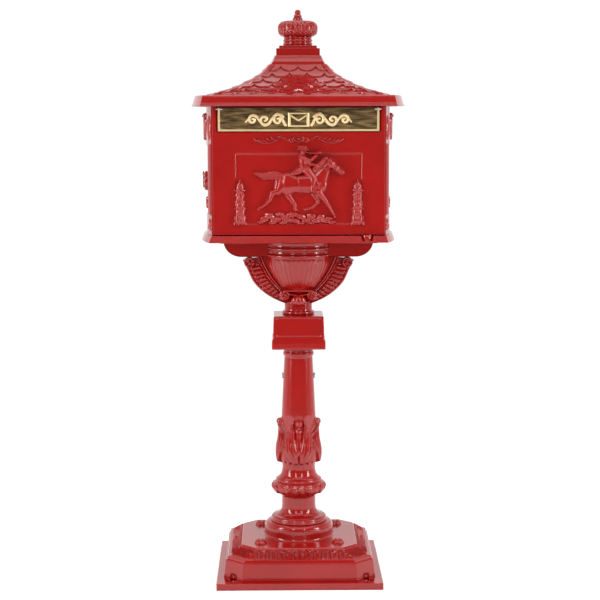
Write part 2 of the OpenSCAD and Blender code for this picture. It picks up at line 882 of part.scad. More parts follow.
// Cross pin of the keeper, with a head inboard
module catch_pin() {
    color(steel) {
        x_cylinder(catch_pin_x, catch_x + catch_t, catch_pin_y, catch_pin_z, catch_pin_r);
        x_cylinder(catch_x + catch_t, catch_x + catch_t + 1.5, catch_pin_y, catch_pin_z,
                   catch_pin_r + 1.5);
    }
}

module catch_screws() {
    color(steel) for (z = catch_screw_zs)
        small_screw(catch_screw_x, door_back_y + catch_t, z, 7);
}

module letter_flap() {
    inner = flap_half - flap_border;
    color(brass) difference() {
        union() {
            block([-flap_half, flap_front_y, flap_low_z], [flap_half, flap_back_y, flap_top_z]);
            translate([0, flap_front_y, flap_disc_z]) rotate([90, 0, 0])
            cylinder(h = 0.8, r = flap_disc_r);
        }
        difference() {
            block([-inner, flap_front_y - 1, flap_low_z + flap_border],
                  [inner, flap_front_y + flap_ground_depth, flap_top_z + 1]);
            translate([0, flap_front_y + 2, flap_disc_z]) rotate([90, 0, 0])
            cylinder(h = 4, r = flap_seat_r);
        }
        for (side = [-1, 1]) x_cylinder(
            side < 0 ? -flap_half - 1 : flap_half - 9, side < 0 ? 9 - flap_half : flap_half + 1,
            flap_axis_y, flap_axis_z, flap_pin_r + fit_gap / 2);
    }
}

module flap_pins() {
    color(steel) for (side = [-1, 1]) x_cylinder(
        side < 0 ? -flap_half - 6 : flap_half - 8, side < 0 ? 8 - flap_half : flap_half + 6,
        flap_axis_y, flap_axis_z, flap_pin_r);
}

module lock_housing() {
    color(steel) difference() {
        union() {
            x_cylinder(pad_x - flange_t, pad_x, lock_y, lock_z, flange_r);
            x_cylinder(pad_x, cam_x - 3, lock_y, lock_z, lock_body_r);
        }
        x_cylinder(pad_x - 2, cam_x, lock_y, lock_z, plug_lock_r + fit_gap);
    }
}

module lock_nut() {
    color(steel) difference() {
        translate([inner_pad_x, lock_y, lock_z]) rotate([0, 90, 0])
            cylinder(h = 4, r = 12, $fn = 6);
        x_cylinder(inner_pad_x - 1, inner_pad_x + 5, lock_y, lock_z, lock_body_r + fit_gap);
    }
}

module lock_plug() {
    color(brass) difference() {
        x_cylinder(pad_x - flange_t / 2, cam_x, lock_y, lock_z, plug_lock_r);
        block([pad_x - 3, lock_y - 3.5, lock_z - 0.7], [pad_x + 20, lock_y + 3.5, lock_z + 0.7]);
        x_cylinder(cam_x - 8, cam_x + 1, lock_y, lock_z, thread_r + fit_gap);
    }
}

// Flat hooked arm that points up when unlocked and forward, over the keeper's pin, when locked
module lock_cam() {
    color(steel) difference() {
        union() {
            x_cylinder(cam_x, cam_x + cam_t, lock_y, lock_z, cam_boss_r);
            block([cam_x, lock_y - cam_half, lock_z],
                  [cam_x + cam_t, lock_y + cam_half, lock_z + cam_len]);
            block([cam_x, lock_y - hook_reach, lock_z + hook_inner],
                  [cam_x + cam_t, lock_y + cam_half, lock_z + cam_len]);
        }
        x_cylinder(cam_x - 1, cam_x + cam_t + 1, lock_y, lock_z, thread_r + loose_gap);
    }
}

module cam_screw() {
    color(steel) {
        x_cylinder(cam_x - 6, cam_x + cam_t, lock_y, lock_z, thread_r);
        x_cylinder(cam_x + cam_t, cam_x + cam_t + 2, lock_y, lock_z, 3.5);
    }
}

module keyhole_cover() {
    cover_x = pad_x - flange_t - cover_gap - cover_t;
    color(coat) difference() {
        hull() {
            x_cylinder(cover_x, cover_x + cover_t, lock_y, rivet_z, 5);
            x_cylinder(cover_x, cover_x + cover_t, lock_y, lock_z, 10);
        }
        x_cylinder(cover_x - 1, cover_x + cover_t + 1, lock_y, rivet_z, rivet_r + fit_gap);
    }
}

module cover_rivet() {
    cover_x = pad_x - flange_t - cover_gap - cover_t;
    color(steel) {
        x_cylinder(cover_x - rivet_head_t - cover_gap, cover_x - cover_gap, lock_y, rivet_z, 3.4);
        x_cylinder(cover_x - cover_gap, pad_x + 5, lock_y, rivet_z, rivet_r);
    }
}

base_casting();
column();
column_screws();
capital_block();
urn_bracket();
tie_rod();
tie_rod_washers();
tie_rod_nuts();
floor_tray();
floor_bolts();
left_wall();
right_wall();
back_wall();
floor_screws();
back_screws();
roof();
roof_screws();
roof_cap();
finial();
finial_stud();
finial_nut();
lower_hinge_pin();
upper_pivot_bush();
door_panel();
door_hinge_lower();
door_hinge_upper();
hinge_screws();
door_catch();
catch_pin();
catch_screws();
letter_flap();
flap_pins();
lock_housing();
lock_nut();
lock_plug();
lock_cam();
cam_screw();
keyhole_cover();
cover_rivet();
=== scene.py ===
"""Looks of a cast pedestal mailbox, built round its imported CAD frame. Lengths are in millimetres."""

import json
import math
from functools import partial

import bmesh
import bpy
import numpy as np
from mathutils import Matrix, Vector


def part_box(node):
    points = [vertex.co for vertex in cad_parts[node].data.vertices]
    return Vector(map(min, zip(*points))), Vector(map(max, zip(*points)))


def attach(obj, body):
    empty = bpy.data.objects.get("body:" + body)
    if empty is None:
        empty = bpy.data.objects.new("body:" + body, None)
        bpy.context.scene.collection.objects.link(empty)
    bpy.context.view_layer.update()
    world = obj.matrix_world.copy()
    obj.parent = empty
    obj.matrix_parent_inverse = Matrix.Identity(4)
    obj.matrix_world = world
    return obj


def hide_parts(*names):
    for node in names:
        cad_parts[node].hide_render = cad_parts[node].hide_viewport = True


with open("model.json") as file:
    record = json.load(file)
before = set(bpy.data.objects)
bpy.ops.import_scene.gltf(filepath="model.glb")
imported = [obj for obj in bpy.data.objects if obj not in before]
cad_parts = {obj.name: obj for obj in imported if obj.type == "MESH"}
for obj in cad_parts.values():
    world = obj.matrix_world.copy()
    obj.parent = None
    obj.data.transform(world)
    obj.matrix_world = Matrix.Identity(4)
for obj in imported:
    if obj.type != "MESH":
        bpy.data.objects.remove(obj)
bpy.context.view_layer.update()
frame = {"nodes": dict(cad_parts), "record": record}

MM = 0.001
ROOT, DOOR, FLAP = "pedestal", "door", "flap"
COAT, BRASS, BUSH_BRASS, STEEL = "red_coat", "antique_brass", "bush_brass", "zinc_steel"


def cad_box(node):
    """Lowest and highest corner of a CAD node, in millimetres."""
    low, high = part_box(node)
    return np.array(low) / MM, np.array(high) / MM


_, BASE_HIGH = cad_box("base_casting")
_, COLUMN_HIGH = cad_box("column")
_, CAPITAL_HIGH = cad_box("capital_block")
_, BRACKET_HIGH = cad_box("urn_bracket")
WALL_LOW, WALL_HIGH = cad_box("right_wall")
DOOR_LOW, DOOR_HIGH = cad_box("door_panel")
FLAP_LOW, FLAP_HIGH = cad_box("letter_flap")
ROOF_LOW, ROOF_HIGH = cad_box("roof")
FINIAL_LOW, FINIAL_HIGH = cad_box("finial")
LOCK_LOW, _ = cad_box("lock_housing")
BOW = 214.5  # the sides' arc centre lies this far beyond the middle


# ---------------------------------------------------------------- materials

def new_material(name):
    """An empty node material: (material, nodes, links, its Principled shader)."""
    material = bpy.data.materials.new(name)
    material.use_nodes = True
    nodes, links = material.node_tree.nodes, material.node_tree.links
    return material, nodes, links, nodes["Principled BSDF"]


def add_node(nodes, kind, **values):
    """A shader node with its inputs set by name, where _ stands for a space."""
    node = nodes.new("ShaderNode" + kind)
    for socket, value in values.items():
        node.inputs[socket.replace("_", " ")].default_value = value
    return node


def noise(nodes, links, scale, detail=4.0, roughness=0.5, stretch=None):
    """A noise texture over the piece's own place, in metres. A low stretch draws it out."""
    place = nodes.new("ShaderNodeTexCoord").outputs["Object"]
    texture = add_node(nodes, "TexNoise", Scale=scale, Detail=detail, Roughness=roughness)
    if stretch:
        mapping = add_node(nodes, "Mapping", Scale=stretch)
        links.new(place, mapping.inputs["Vector"])
        place = mapping.outputs["Vector"]
    links.new(place, texture.inputs["Vector"])
    return texture.outputs["Fac"]


def ramp(nodes, links, source, stops):
    """Colour ramp driven by source: stops are (place, colour)."""
    node = nodes.new("ShaderNodeValToRGB")
    elements = node.color_ramp.elements
    while len(elements) < len(stops):
        elements.new(0.5)
    for element, (place, colour) in zip(elements, stops):
        element.position = place
        element.color = (*colour, 1.0)
    links.new(source, node.inputs["Fac"])
    return node.outputs["Color"]


def bump(nodes, links, shader, source, distance, strength):
    """Fine relief, with the distance in metres."""
    node = add_node(nodes, "Bump", Distance=distance, Strength=strength)
    links.new(source, node.inputs["Height"])
    links.new(node.outputs["Normal"], shader.inputs["Normal"])


def spread(nodes, links, source, low, high, start=0.0, end=1.0, kind="LINEAR"):
    """Maps source from start..end to low..high."""
    node = add_node(nodes, "MapRange", From_Min=start, From_Max=end, To_Min=low, To_Max=high)
    node.interpolation_type = kind
    links.new(source, node.inputs["Value"])
    return node.outputs["Result"]


def combine(nodes, links, operation, first, second):
    """A Math node over a socket and either a second socket or a number."""
    node = nodes.new("ShaderNodeMath")
    node.operation = operation
    links.new(first, node.inputs[0])
    if isinstance(second, float):
        node.inputs[1].default_value = second
    else:
        links.new(second, node.inputs[1])
    return node.outputs["Value"]


def coat_material():
    """Glossy red coat over a sand casting: faint orange peel and colour drift."""
    material, nodes, links, shader = new_material("red_coat")
    drift = noise(nodes, links, 14.0, 3.0)
    colour = ramp(nodes, links, drift, [(0.3, (0.236, 0.0044, 0.0032)), (0.7, (0.272, 0.0054, 0.0040))])
    links.new(colour, shader.inputs["Base Color"])
    links.new(spread(nodes, links, noise(nodes, links, 60.0, 5.0), 0.11, 0.19), shader.inputs["Roughness"])
    shader.inputs["Specular IOR Level"].default_value = 0.5
    bump(nodes, links, shader, noise(nodes, links, 420.0, 4.0, 0.6), 0.00009, 0.5)
    return material


def antique_brass_material():
    """Brass whose hollows keep a dark patina and whose raised parts are rubbed bright."""
    material, nodes, links, shader = new_material("antique_brass")
    raised = nodes.new("ShaderNodeAttribute")
    raised.attribute_name = "raised"
    speckle = noise(nodes, links, 330.0, 6.0, 0.7, stretch=(0.12, 1.0, 1.0))
    lifted = combine(nodes, links, "SUBTRACT", raised.outputs["Fac"], 0.5)
    wear = combine(nodes, links, "ADD", speckle, lifted)
    colour = ramp(nodes, links, wear, [(0.08, (0.035, 0.022, 0.009)), (0.34, (0.19, 0.12, 0.048)),
        (0.62, (0.46, 0.32, 0.14)), (0.95, (0.74, 0.57, 0.31))])
    links.new(colour, shader.inputs["Base Color"])
    links.new(spread(nodes, links, wear, 0.62, 0.33), shader.inputs["Roughness"])
    shader.inputs["Metallic"].default_value = 0.85
    bump(nodes, links, shader, noise(nodes, links, 700.0, 5.0, 0.65), 0.0003, 0.7)
    return material


def metal_material(name, dark, light, roughness):
    """Plain turned or plated metal with fine brushed variation."""
    material, nodes, links, shader = new_material(name)
    colour = ramp(nodes, links, noise(nodes, links, 180.0, 4.0), [(0.3, dark), (0.7, light)])
    links.new(colour, shader.inputs["Base Color"])
    links.new(spread(nodes, links, noise(nodes, links, 500.0, 3.0), roughness, roughness + 0.15),
        shader.inputs["Roughness"])
    shader.inputs["Metallic"].default_value = 1.0
    bump(nodes, links, shader, noise(nodes, links, 1500.0, 2.0), 0.00004, 0.5)
    return material


def floor_material():
    """Pale matt studio floor."""
    material, nodes, links, shader = new_material("pale_floor")
    colour = ramp(nodes, links, noise(nodes, links, 3.0, 2.0), [(0.3, (0.93, 0.93, 0.93)),
        (0.7, (0.96, 0.96, 0.96))])
    links.new(colour, shader.inputs["Base Color"])
    shader.inputs["Roughness"].default_value = 0.9
    return material


MATERIALS = {
    COAT: coat_material(),
    BRASS: antique_brass_material(),
    BUSH_BRASS: metal_material("turned_brass", (0.52, 0.36, 0.14), (0.66, 0.48, 0.21), 0.28),
    STEEL: metal_material("zinc_steel", (0.42, 0.42, 0.43), (0.6, 0.6, 0.61), 0.32),
}


# ---------------------------------------------------------------- mesh tools

def add_piece(name, points, quads, body=ROOT, slot=COAT, fans=(), sharp=38.0, raised=None):
    """A piece from points in millimetres and an array of quads. fans are (centre, ring) caps."""
    points = np.asarray(points, float).reshape(-1, 3)
    faces = [tuple(q) for q in np.asarray(quads).reshape(-1, 4).tolist()]
    for centre, ring in fans:
        points = np.vstack([points, centre])
        hub = len(points) - 1
        faces += [(hub, ring[i], ring[(i + 1) % len(ring)]) for i in range(len(ring))]
    mesh = bpy.data.meshes.new(name)
    mesh.from_pydata((points * MM).tolist(), [], faces)
    if raised is not None:
        values = np.zeros(len(points), np.float32)
        values[: len(raised)] = raised
        mesh.attributes.new("raised", "FLOAT", "POINT").data.foreach_set("value", values)
    mesh.materials.append(MATERIALS[slot])
    mesh.validate()
    piece = bpy.data.objects.new(name, mesh)
    bpy.context.scene.collection.objects.link(piece)
    outward(piece)
    mesh.shade_smooth()
    mesh.set_sharp_from_angle(angle=math.radians(sharp))
    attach(piece, body)
    return piece


def outward(piece):
    """Turns every face of a closed piece outward."""
    shell = bmesh.new()
    shell.from_mesh(piece.data)
    bmesh.ops.recalc_face_normals(shell, faces=shell.faces)
    shell.to_mesh(piece.data)
    shell.free()


def grid_quads(rows, cols, wrap_rows=False, wrap_cols=False):
    """Quads between neighbouring points of a rows by cols grid."""
    r = np.arange(rows if wrap_rows else rows - 1)[:, None]
    c = np.arange(cols if wrap_cols else cols - 1)[None, :]
    r1, c1 = (r + 1) % rows, (c + 1) % cols
    return np.stack([r * cols + c, r * cols + c1, r1 * cols + c1, r1 * cols + c], -1).reshape(-1, 4)


def loft(name, loops, closed_tube=False, **options):
    """A solid through rings of points. closed_tube joins the last ring to the first."""
    loops = np.asarray(loops, float)
    rows, cols = loops.shape[:2]
    quads = grid_quads(rows, cols, wrap_rows=closed_tube, wrap_cols=True)
    fans = []
    if not closed_tube:
        top = (rows - 1) * cols
        fans = [(loops[0].mean(0), list(range(cols))), (loops[-1].mean(0), list(range(top, top + cols)))]
    return add_piece(name, loops.reshape(-1, 3), quads, fans=fans, **options)


def slab(name, us, vs, front, back, keep=None, **options):
    """A plate over a grid: front and back give points from (u, v), keep says which cells exist."""
    u, v = np.meshgrid(us, vs)
    rows, cols = u.shape
    mid_u, mid_v = (u[:-1, :-1] + u[1:, 1:]) / 2, (v[:-1, :-1] + v[1:, 1:]) / 2
    kept = np.ones(mid_u.shape, bool) if keep is None else keep(mid_u, mid_v)
    count = rows * cols
    cells = grid_quads(rows, cols)[kept.reshape(-1)]
    quads = [cells, cells[:, ::-1] + count]
    padded = np.pad(kept, 1)
    index = np.arange(count).reshape(rows, cols)
    sides = (
        (kept & ~padded[:-2, 1:-1], index[:-1, :-1], index[:-1, 1:]),
        (kept & ~padded[2:, 1:-1], index[1:, 1:], index[1:, :-1]),
        (kept & ~padded[1:-1, :-2], index[1:, :-1], index[:-1, :-1]),
        (kept & ~padded[1:-1, 2:], index[:-1, 1:], index[1:, 1:]),
    )
    for edge, start, end in sides:
        a, b = start[edge], end[edge]
        quads.append(np.stack([b, a, a + count, b + count], -1))
    points = np.concatenate([front(u, v).reshape(-1, 3), back(u, v).reshape(-1, 3)])
    quads = np.concatenate(quads)
    used = np.unique(quads)
    place = np.full(len(points), -1)
    place[used] = np.arange(len(used))
    raised = options.pop("raised", None)
    if raised is not None:
        options["raised"] = np.concatenate([raised(u, v).reshape(-1), np.zeros(count)])[used]
    return add_piece(name, points[used], place[quads], **options)


def steps(*stops):
    """Grid lines: stops are (start, spacing), and the last one is the end."""
    lines = []
    for (start, spacing), (end, _) in zip(stops[:-1], stops[1:]):
        count = max(1, round(abs(end - start) / spacing))
        lines.append(np.linspace(start, end, count, endpoint=False))
    return np.concatenate([*lines, [stops[-1][0]]])


def mirrored(lines):
    """Grid lines on both sides of zero, from those on the positive side."""
    lines = np.asarray(lines)
    return np.concatenate([-lines[::-1], lines[1:] if lines[0] == 0 else lines])


def dome(share):
    """Round height: 1 where share is 0, and 0 from 1 on."""
    return np.sqrt(np.clip(1 - share, 0, 1))


def bell(away, width, power=2):
    """1 at 0, fading over width, with a flatter top for a higher power."""
    return np.exp(-((away / width) ** power))


def xyz(*parts):
    """Points from three coordinates, any of which may be a single number."""
    return np.stack(np.broadcast_arrays(*parts), -1)


def highest(*heights):
    """Union of reliefs."""
    return np.maximum.reduce(heights)


def at_height(points, z):
    """Plan points lifted to a height."""
    return np.column_stack([points, np.full(len(points), z)])


def smooth_step(x, low, high):
    """0 below low, 1 above high, smooth between."""
    t = np.clip((x - low) / (high - low), 0, 1)
    return t * t * (3 - 2 * t)


def dense(profile, spacing):
    """Adds points along a polyline so that none is further than spacing from the next."""
    out = [profile[0]]
    for start, end in zip(profile[:-1], profile[1:]):
        count = max(1, math.ceil(math.dist(start, end) / spacing))
        out += [tuple(np.array(start) + (np.array(end) - np.array(start)) * (i + 1) / count)
                for i in range(count)]
    return out


def arc(centre, radius, start, end, count=10):
    """Points on an arc, angles in degrees."""
    angles = np.radians(np.linspace(start, end, count))
    return [(centre[0] + radius * math.cos(a), centre[1] + radius * math.sin(a)) for a in angles]


def curve(points, count):
    """A smooth curve through points, by cubic interpolation of each coordinate."""
    points = np.asarray(points, float)
    t = np.concatenate([[0], np.cumsum(np.linalg.norm(np.diff(points, axis=0), axis=1))])
    slope = np.gradient(points, t, axis=0)
    s = np.linspace(0, t[-1], count)
    k = np.clip(np.searchsorted(t, s, side="right") - 1, 0, len(t) - 2)
    h = (t[k + 1] - t[k])[:, None]
    x = ((s - t[k]) / h[:, 0])[:, None]
    return ((2 * x**3 - 3 * x**2 + 1) * points[k] + (x**3 - 2 * x**2 + x) * h * slope[k]
        + (3 * x**2 - 2 * x**3) * points[k + 1] + (x**3 - x**2) * h * slope[k + 1])


def turned(name, profile, segments=192, swell=None, place=(0, 0, 0), axis="z", **options):
    """A turned solid from a profile of (radius, height). swell(angle, height, radius) adds to the radius."""
    profile = np.asarray(profile, float)
    angle = np.linspace(0, 2 * np.pi, segments, endpoint=False)[None, :]
    radius, height = profile[:, :1], profile[:, 1:]
    r = radius + (swell(angle, height, radius) if swell else 0 * angle)
    x, y = r * np.cos(angle), r * np.sin(angle)
    rings = {"z": (x, y, height), "x": (height, x, y), "y": (y, height, x)}[axis]
    return loft(name, xyz(*rings) + np.array(place), **options)


def soften(piece, width):
    """Welds and rounds the sharp edges of a piece or a CAD node."""
    piece.modifiers.new("weld", "WELD").merge_threshold = 0.00001
    bevel = piece.modifiers.new("bevel", "BEVEL")
    bevel.width = width * MM
    bevel.segments = 2
    bevel.limit_method = "ANGLE"
    bevel.angle_limit = math.radians(30)


def joined(name, parts):
    """One piece made of several, which keep their materials."""
    with bpy.context.temp_override(active_object=parts[0], object=parts[0], selected_editable_objects=parts,
            selected_objects=parts):
        bpy.ops.object.join()
    parts[0].name = name
    return parts[0]


# ---------------------------------------------------------------- relief tools

def capsule(x, z, start, end, radius_start, radius_end, height):
    """Height of a rounded limb between two points, tapering from one radius to the other."""
    a, b = np.array(start, float), np.array(end, float)
    d = b - a
    t = np.clip(((x - a[0]) * d[0] + (z - a[1]) * d[1]) / max(d @ d, 1e-9), 0, 1)
    radius = radius_start + (radius_end - radius_start) * t
    away = np.hypot(x - a[0] - t * d[0], z - a[1] - t * d[1]) / radius
    return height * dome(away**2)


def chain(x, z, points, radii, height):
    """Height of limbs joined end to end."""
    out = np.zeros_like(x)
    for i in range(len(points) - 1):
        out = np.maximum(out, capsule(x, z, points[i], points[i + 1], radii[i], radii[i + 1], height))
    return out


def disc(x, z, centre, radius, height):
    """Height of a domed disc."""
    return height * dome(((x - centre[0]) ** 2 + (z - centre[1]) ** 2) / radius**2)


def blend(a, b, width=0.35):
    """Union of two reliefs with a soft crease."""
    k = np.clip(0.5 + 0.5 * (a - b) / width, 0, 1)
    return np.where((a > 0) & (b > 0), b + (a - b) * k + width * k * (1 - k) * 0.5, np.maximum(a, b))


def coil(x, z, centre, radius, turns, start, radii, height, hand=1):
    """Height of a limb that winds in from radius to its eye, with its first and last radius."""
    t = np.linspace(0, 1, 26)
    angle = math.radians(start) + hand * 2 * np.pi * turns * t
    r = radius * (1 - 0.82 * t)
    points = [(centre[0] + q * math.cos(a), centre[1] + q * math.sin(a)) for q, a in zip(r, angle)]
    return chain(x, z, points, np.linspace(*radii, len(points)), height)


# ---------------------------------------------------------------- base

PLATE_TOP = 12.0
BLOCK_TOP, STEP_TOP, PLATEAU = 44.0, 49.5, 65.0
SOCKET_TOP = BASE_HIGH[2]
HALF_PLATE = BASE_HIGH[0]
ANCHOR = 127.0
SIDE_COUNT, CHAMFER_COUNT = 150, 36
SLOPE_RUN, SLOPE_RISE, SLOPE_LENGTH, SLOPE_ROWS = 22, 15.4, 26.6, 26
QUARTER_TURN = np.array([[0, -1], [1, 0]])


def perimeter(half, chamfer):
    """Points round a chamfered square, and for each its side number and place along that side."""
    flat = half - chamfer
    points, side, along = [], [], []
    for k in range(4):
        rotation = np.linalg.matrix_power(QUARTER_TURN, k)
        t = np.linspace(-1, 1, SIDE_COUNT, endpoint=False)
        edge = np.stack([t * flat, np.full_like(t, -half)], -1)
        s = np.linspace(0, 1, CHAMFER_COUNT, endpoint=False)
        corner = np.stack([flat + s * chamfer, -half + s * chamfer], -1)
        points += [edge @ rotation.T, corner @ rotation.T]
        side += [np.zeros(SIDE_COUNT), np.ones(CHAMFER_COUNT)]
        along += [t * flat, (s - 0.5) * chamfer * math.sqrt(2)]
    return np.concatenate(points), np.concatenate(side), np.concatenate(along)


def slope_relief(side, along, up):
    """Arches and slots on the slope's sides, slanted reeds on its chamfers, a bead along its top."""
    pitch, spring, radius = 15.2, 15.0, 4.3
    u = (along + pitch / 2) % pitch - pitch / 2
    to_arch = np.where(up < spring, np.abs(np.abs(u) - radius), np.abs(np.hypot(u, up - spring) - radius))
    ridge = 3.6 * bell(to_arch, 1.35, 4)
    dart = 1.5 * bell(np.abs(u) - pitch / 2, 0.9) * smooth_step(up, 9, 12)
    field = smooth_step(up, 1.2, 2.2) * (1 - smooth_step(up, 21.5, 22.5)) * (np.abs(along) < 5.5 * pitch)
    sides = (ridge + dart - 1.8) * field
    reeds = np.clip(np.cos(2 * np.pi * (along + 0.75 * (up - 12)) / 5.8) * 1.6, -1, 1)
    chamfers = (1.7 * reeds - 0.2) * smooth_step(up, 1.6, 2.8) * (1 - smooth_step(up, 20.5, 21.6))
    bead = 1.0 * bell(up - 25, 1.1)
    return np.where(side > 0, chamfers, sides) + bead


def base_block():
    """Hollow chamfered block, step, fluted slope, plateau and round socket."""
    loops = []

    def level(half, chamfer, z, up=None):
        points, side, along = perimeter(half, chamfer)
        z = np.full(len(points), z)
        if up is not None:
            lift = slope_relief(side, along, np.full(len(points), up))
            out = points / np.abs(points).max(1)[:, None]
            rise, length = 15.5, math.hypot(15.5, SLOPE_RUN)
            points = points + out * (lift * rise / length)[:, None]
            z = z + lift * SLOPE_RUN / length
        loops.append(np.column_stack([points, z]))

    def ring(radius, z):
        points, _, _ = perimeter(102, 25)
        loops.append(at_height(points / np.linalg.norm(points, axis=1)[:, None] * radius, z))

    for z in np.arange(PLATE_TOP - 0.4, 16.0, 0.8):
        level(136, 33, z)
    level(135.6, 33, 16.4)
    for z in np.arange(17, BLOCK_TOP - 0.6, 0.9):
        level(135.2 - 3.2 * (z - 17) / 27, 33, z)
    for half, chamfer, z in ((131.6, 33, BLOCK_TOP - 0.2), (131.0, 33, BLOCK_TOP),
            (129.6, 31, BLOCK_TOP + 0.1), (129.2, 30.6, BLOCK_TOP + 0.7), (129.0, 30, STEP_TOP - 0.8),
            (128.3, 30, STEP_TOP), (125.0, 29.5, STEP_TOP + 0.1)):
        level(half, chamfer, z)
    for t in np.arange(SLOPE_ROWS + 1) / SLOPE_ROWS:
        level(124 - SLOPE_RUN * t, 29 - 4 * t, STEP_TOP + 0.1 + SLOPE_RISE * t, up=SLOPE_LENGTH * t)
    level(101, 24.6, PLATEAU)
    square, _, _ = perimeter(101, 24.6)
    for t in np.linspace(0.1, 0.9, 5):
        circle = square / np.linalg.norm(square, axis=1)[:, None] * 67.5
        loops.append(at_height(square + (circle - square) * t, PLATEAU))
    for r, z in arc((67.5, PLATEAU + 4.3), 4.3, -90, -180, 8):
        ring(r, z)
    for r, z in [(63.2, 76), (63.5, 83.2), (63.2, 84.4), (62.2, 84.9), (61.6, 85.3), (61.2, 87.6),
            (60.6, 88.6), (59.6, 89.4), (58.9, 90.6), (57.6, SOCKET_TOP), (44.4, SOCKET_TOP), (44.4, 82),
            (8, 82), (8, 59)]:
        ring(r, z)
    for half, chamfer, z in ((92, 24, 58), (94, 25, 56), (94, 25, 36), (122, 36, 35), (124, 37, 33),
            (124, 37, PLATE_TOP - 0.4)):
        level(half, chamfer, z)
    loops = np.array(loops)
    carve_niches(loops)
    return loft("base_block", loops, closed_tube=True, sharp=45)


def carve_niches(loops):
    """Rounds a niche into the foot of each chamfer, over its anchor bolt."""
    radius, top = 15.0, 24.0
    centre = np.array([ANCHOR, ANCHOR])
    flat = loops.reshape(-1, 3)
    near = np.abs(flat[:, :2]) - centre
    away = np.hypot(near[:, 0], near[:, 1])
    reach = radius * dome(np.clip((flat[:, 2] - top + 5) / 6, 0, 1) ** 2)
    inside = (away < reach) & (flat[:, 2] < top + 2) & (np.abs(flat[:, :2]).max(1) > 105)
    push = near / np.maximum(away, 1e-6)[:, None] * reach[:, None]
    diagonal = np.array([-1.0, -1.0]) / math.sqrt(2)
    deep = near @ diagonal
    push = np.where((deep < 0)[:, None], near, push)
    flat[inside, :2] = (np.sign(flat[:, :2]) * (centre + push))[inside]


def base_plate():
    """Square plate with four anchor holes and an opening under the hollow block."""
    half, inner = HALF_PLATE, 124.0
    lines = [-half, -inner, inner, half]

    plate = slab("base_plate", lines, lines, lambda u, v: xyz(u, v, PLATE_TOP), lambda u, v: xyz(u, v, 0.0),
                 keep=lambda u, v: (np.abs(u) > inner) | (np.abs(v) > inner))
    for sx in (-1, 1):
        for sy in (-1, 1):
            bore_through(plate, (sx * ANCHOR, sy * ANCHOR, 0), 5.5, "z")
    plate.data.shade_smooth()
    plate.data.set_sharp_from_angle(angle=math.radians(38))
    soften(plate, 1.4)
    return plate


def rosette(name, x, y):
    """Domed flower with six petals round a button."""
    radius = 10.5
    rings = []
    angle = np.linspace(0, 2 * np.pi, 96, endpoint=False)
    for q in np.linspace(1, 0.04, 26):
        edge = 1 + 0.06 * np.cos(6 * angle)
        petal = 0.5 + 0.5 * np.cos(6 * angle)
        dome = 6.5 * math.sqrt(1 - 0.97 * q * q)
        hollow = 1.8 * petal * math.exp(-(((q - 0.62) / 0.2) ** 2))
        groove = 1.6 * math.exp(-(((q - 0.36) / 0.07) ** 2))
        z = PLATEAU + dome + hollow - groove
        rings.append(xyz(x + radius * q * edge * np.cos(angle), y + radius * q * edge * np.sin(angle), z))
    rings.insert(0, rings[0] * [1, 1, 0] + [0, 0, PLATEAU - 0.6])
    return loft(name, rings)


def build_base():
    block = base_block()
    plate = base_plate()
    flowers = joined("base_rosettes", [rosette("rosette", sx * 70, sy * 68)
                                       for sx in (-1, 1) for sy in (-1, 1)])
    for piece in (block, plate, flowers):
        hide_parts("base_casting")


# ---------------------------------------------------------------- column

TORUS_Z = 156.0
LEAF_LOW = 196.0


def column_swell(angle, z, radius):
    """Leaves round the shaft's foot and four bosses on the torus."""
    quarter = (angle + np.pi / 2 + np.pi / 4) % (np.pi / 2) - np.pi / 4
    return leaf_relief(quarter * 34.0, z) + boss_relief(quarter * 45.0, z)


def leaf_relief(u, z):
    """One leaf: a flared stem under the curl between two fat fluted lobes that spread downward."""
    side = np.abs(u)
    scallop = 3.6 * np.abs(np.sin(np.pi * np.clip(side / 26.7, 0, 1) * 2))
    foot = smooth_step(z, LEAF_LOW + 7.0 - scallop, LEAF_LOW + 11.0 - scallop)
    crown = 1 - smooth_step(side - 12 - 0.7 * np.clip(276 - z, 0, 60), -2.0, 1.0) * smooth_step(z, 236, 250)
    body = 7.0 * bell(z - 224, 25) + 2.0 * bell(z - 262, 16)
    axis = np.interp(z, [203, 212, 225, 245, 262, 276], [5.0, 8.5, 12.5, 15.5, 15.0, 12.0])
    half = np.interp(z, [203, 212, 225, 245, 262, 276], [6.0, 8.5, 10.5, 9.8, 7.4, 3.0])
    across = (side - axis) / half
    lobe = 7.0 * dome(across**2)
    flutes = bell(np.abs(across) - 0.36, 0.09) * smooth_step(z, 210, 222)
    lobe = lobe - 1.7 * flutes * (1 - smooth_step(z, 258, 270))
    stem = 3.4 * bell(side, 4.6, 4) * (1 - smooth_step(z, 258, 272)) * smooth_step(z, 212, 226)
    return (body + np.maximum(lobe, stem)) * foot * crown * smooth_step(-z, -292, -270)


def boss_relief(u, z):
    """One boss: a shield with a scalloped lower edge and three flowers."""
    side = np.abs(u)
    lower = 147.0 + 2.6 * np.cos(2 * np.pi * u / 13.0)
    face = (1 - smooth_step(side, 23, 26)) * smooth_step(z, lower - 0.9, lower + 0.9)
    face = face * (1 - smooth_step(z, 164.5, 167))
    flowers = 0
    for centre in (-14, 0, 14):
        away = np.hypot(u - centre, z - 157.5)
        bearing = np.arctan2(z - 157.5, u - centre)
        flowers = flowers + 2.4 * bell(away, 4.6 + 1.3 * np.cos(5 * bearing), 6)
        flowers = flowers - 1.6 * bell(away - 2.2, 0.7)
    return 3.6 * face + flowers * face


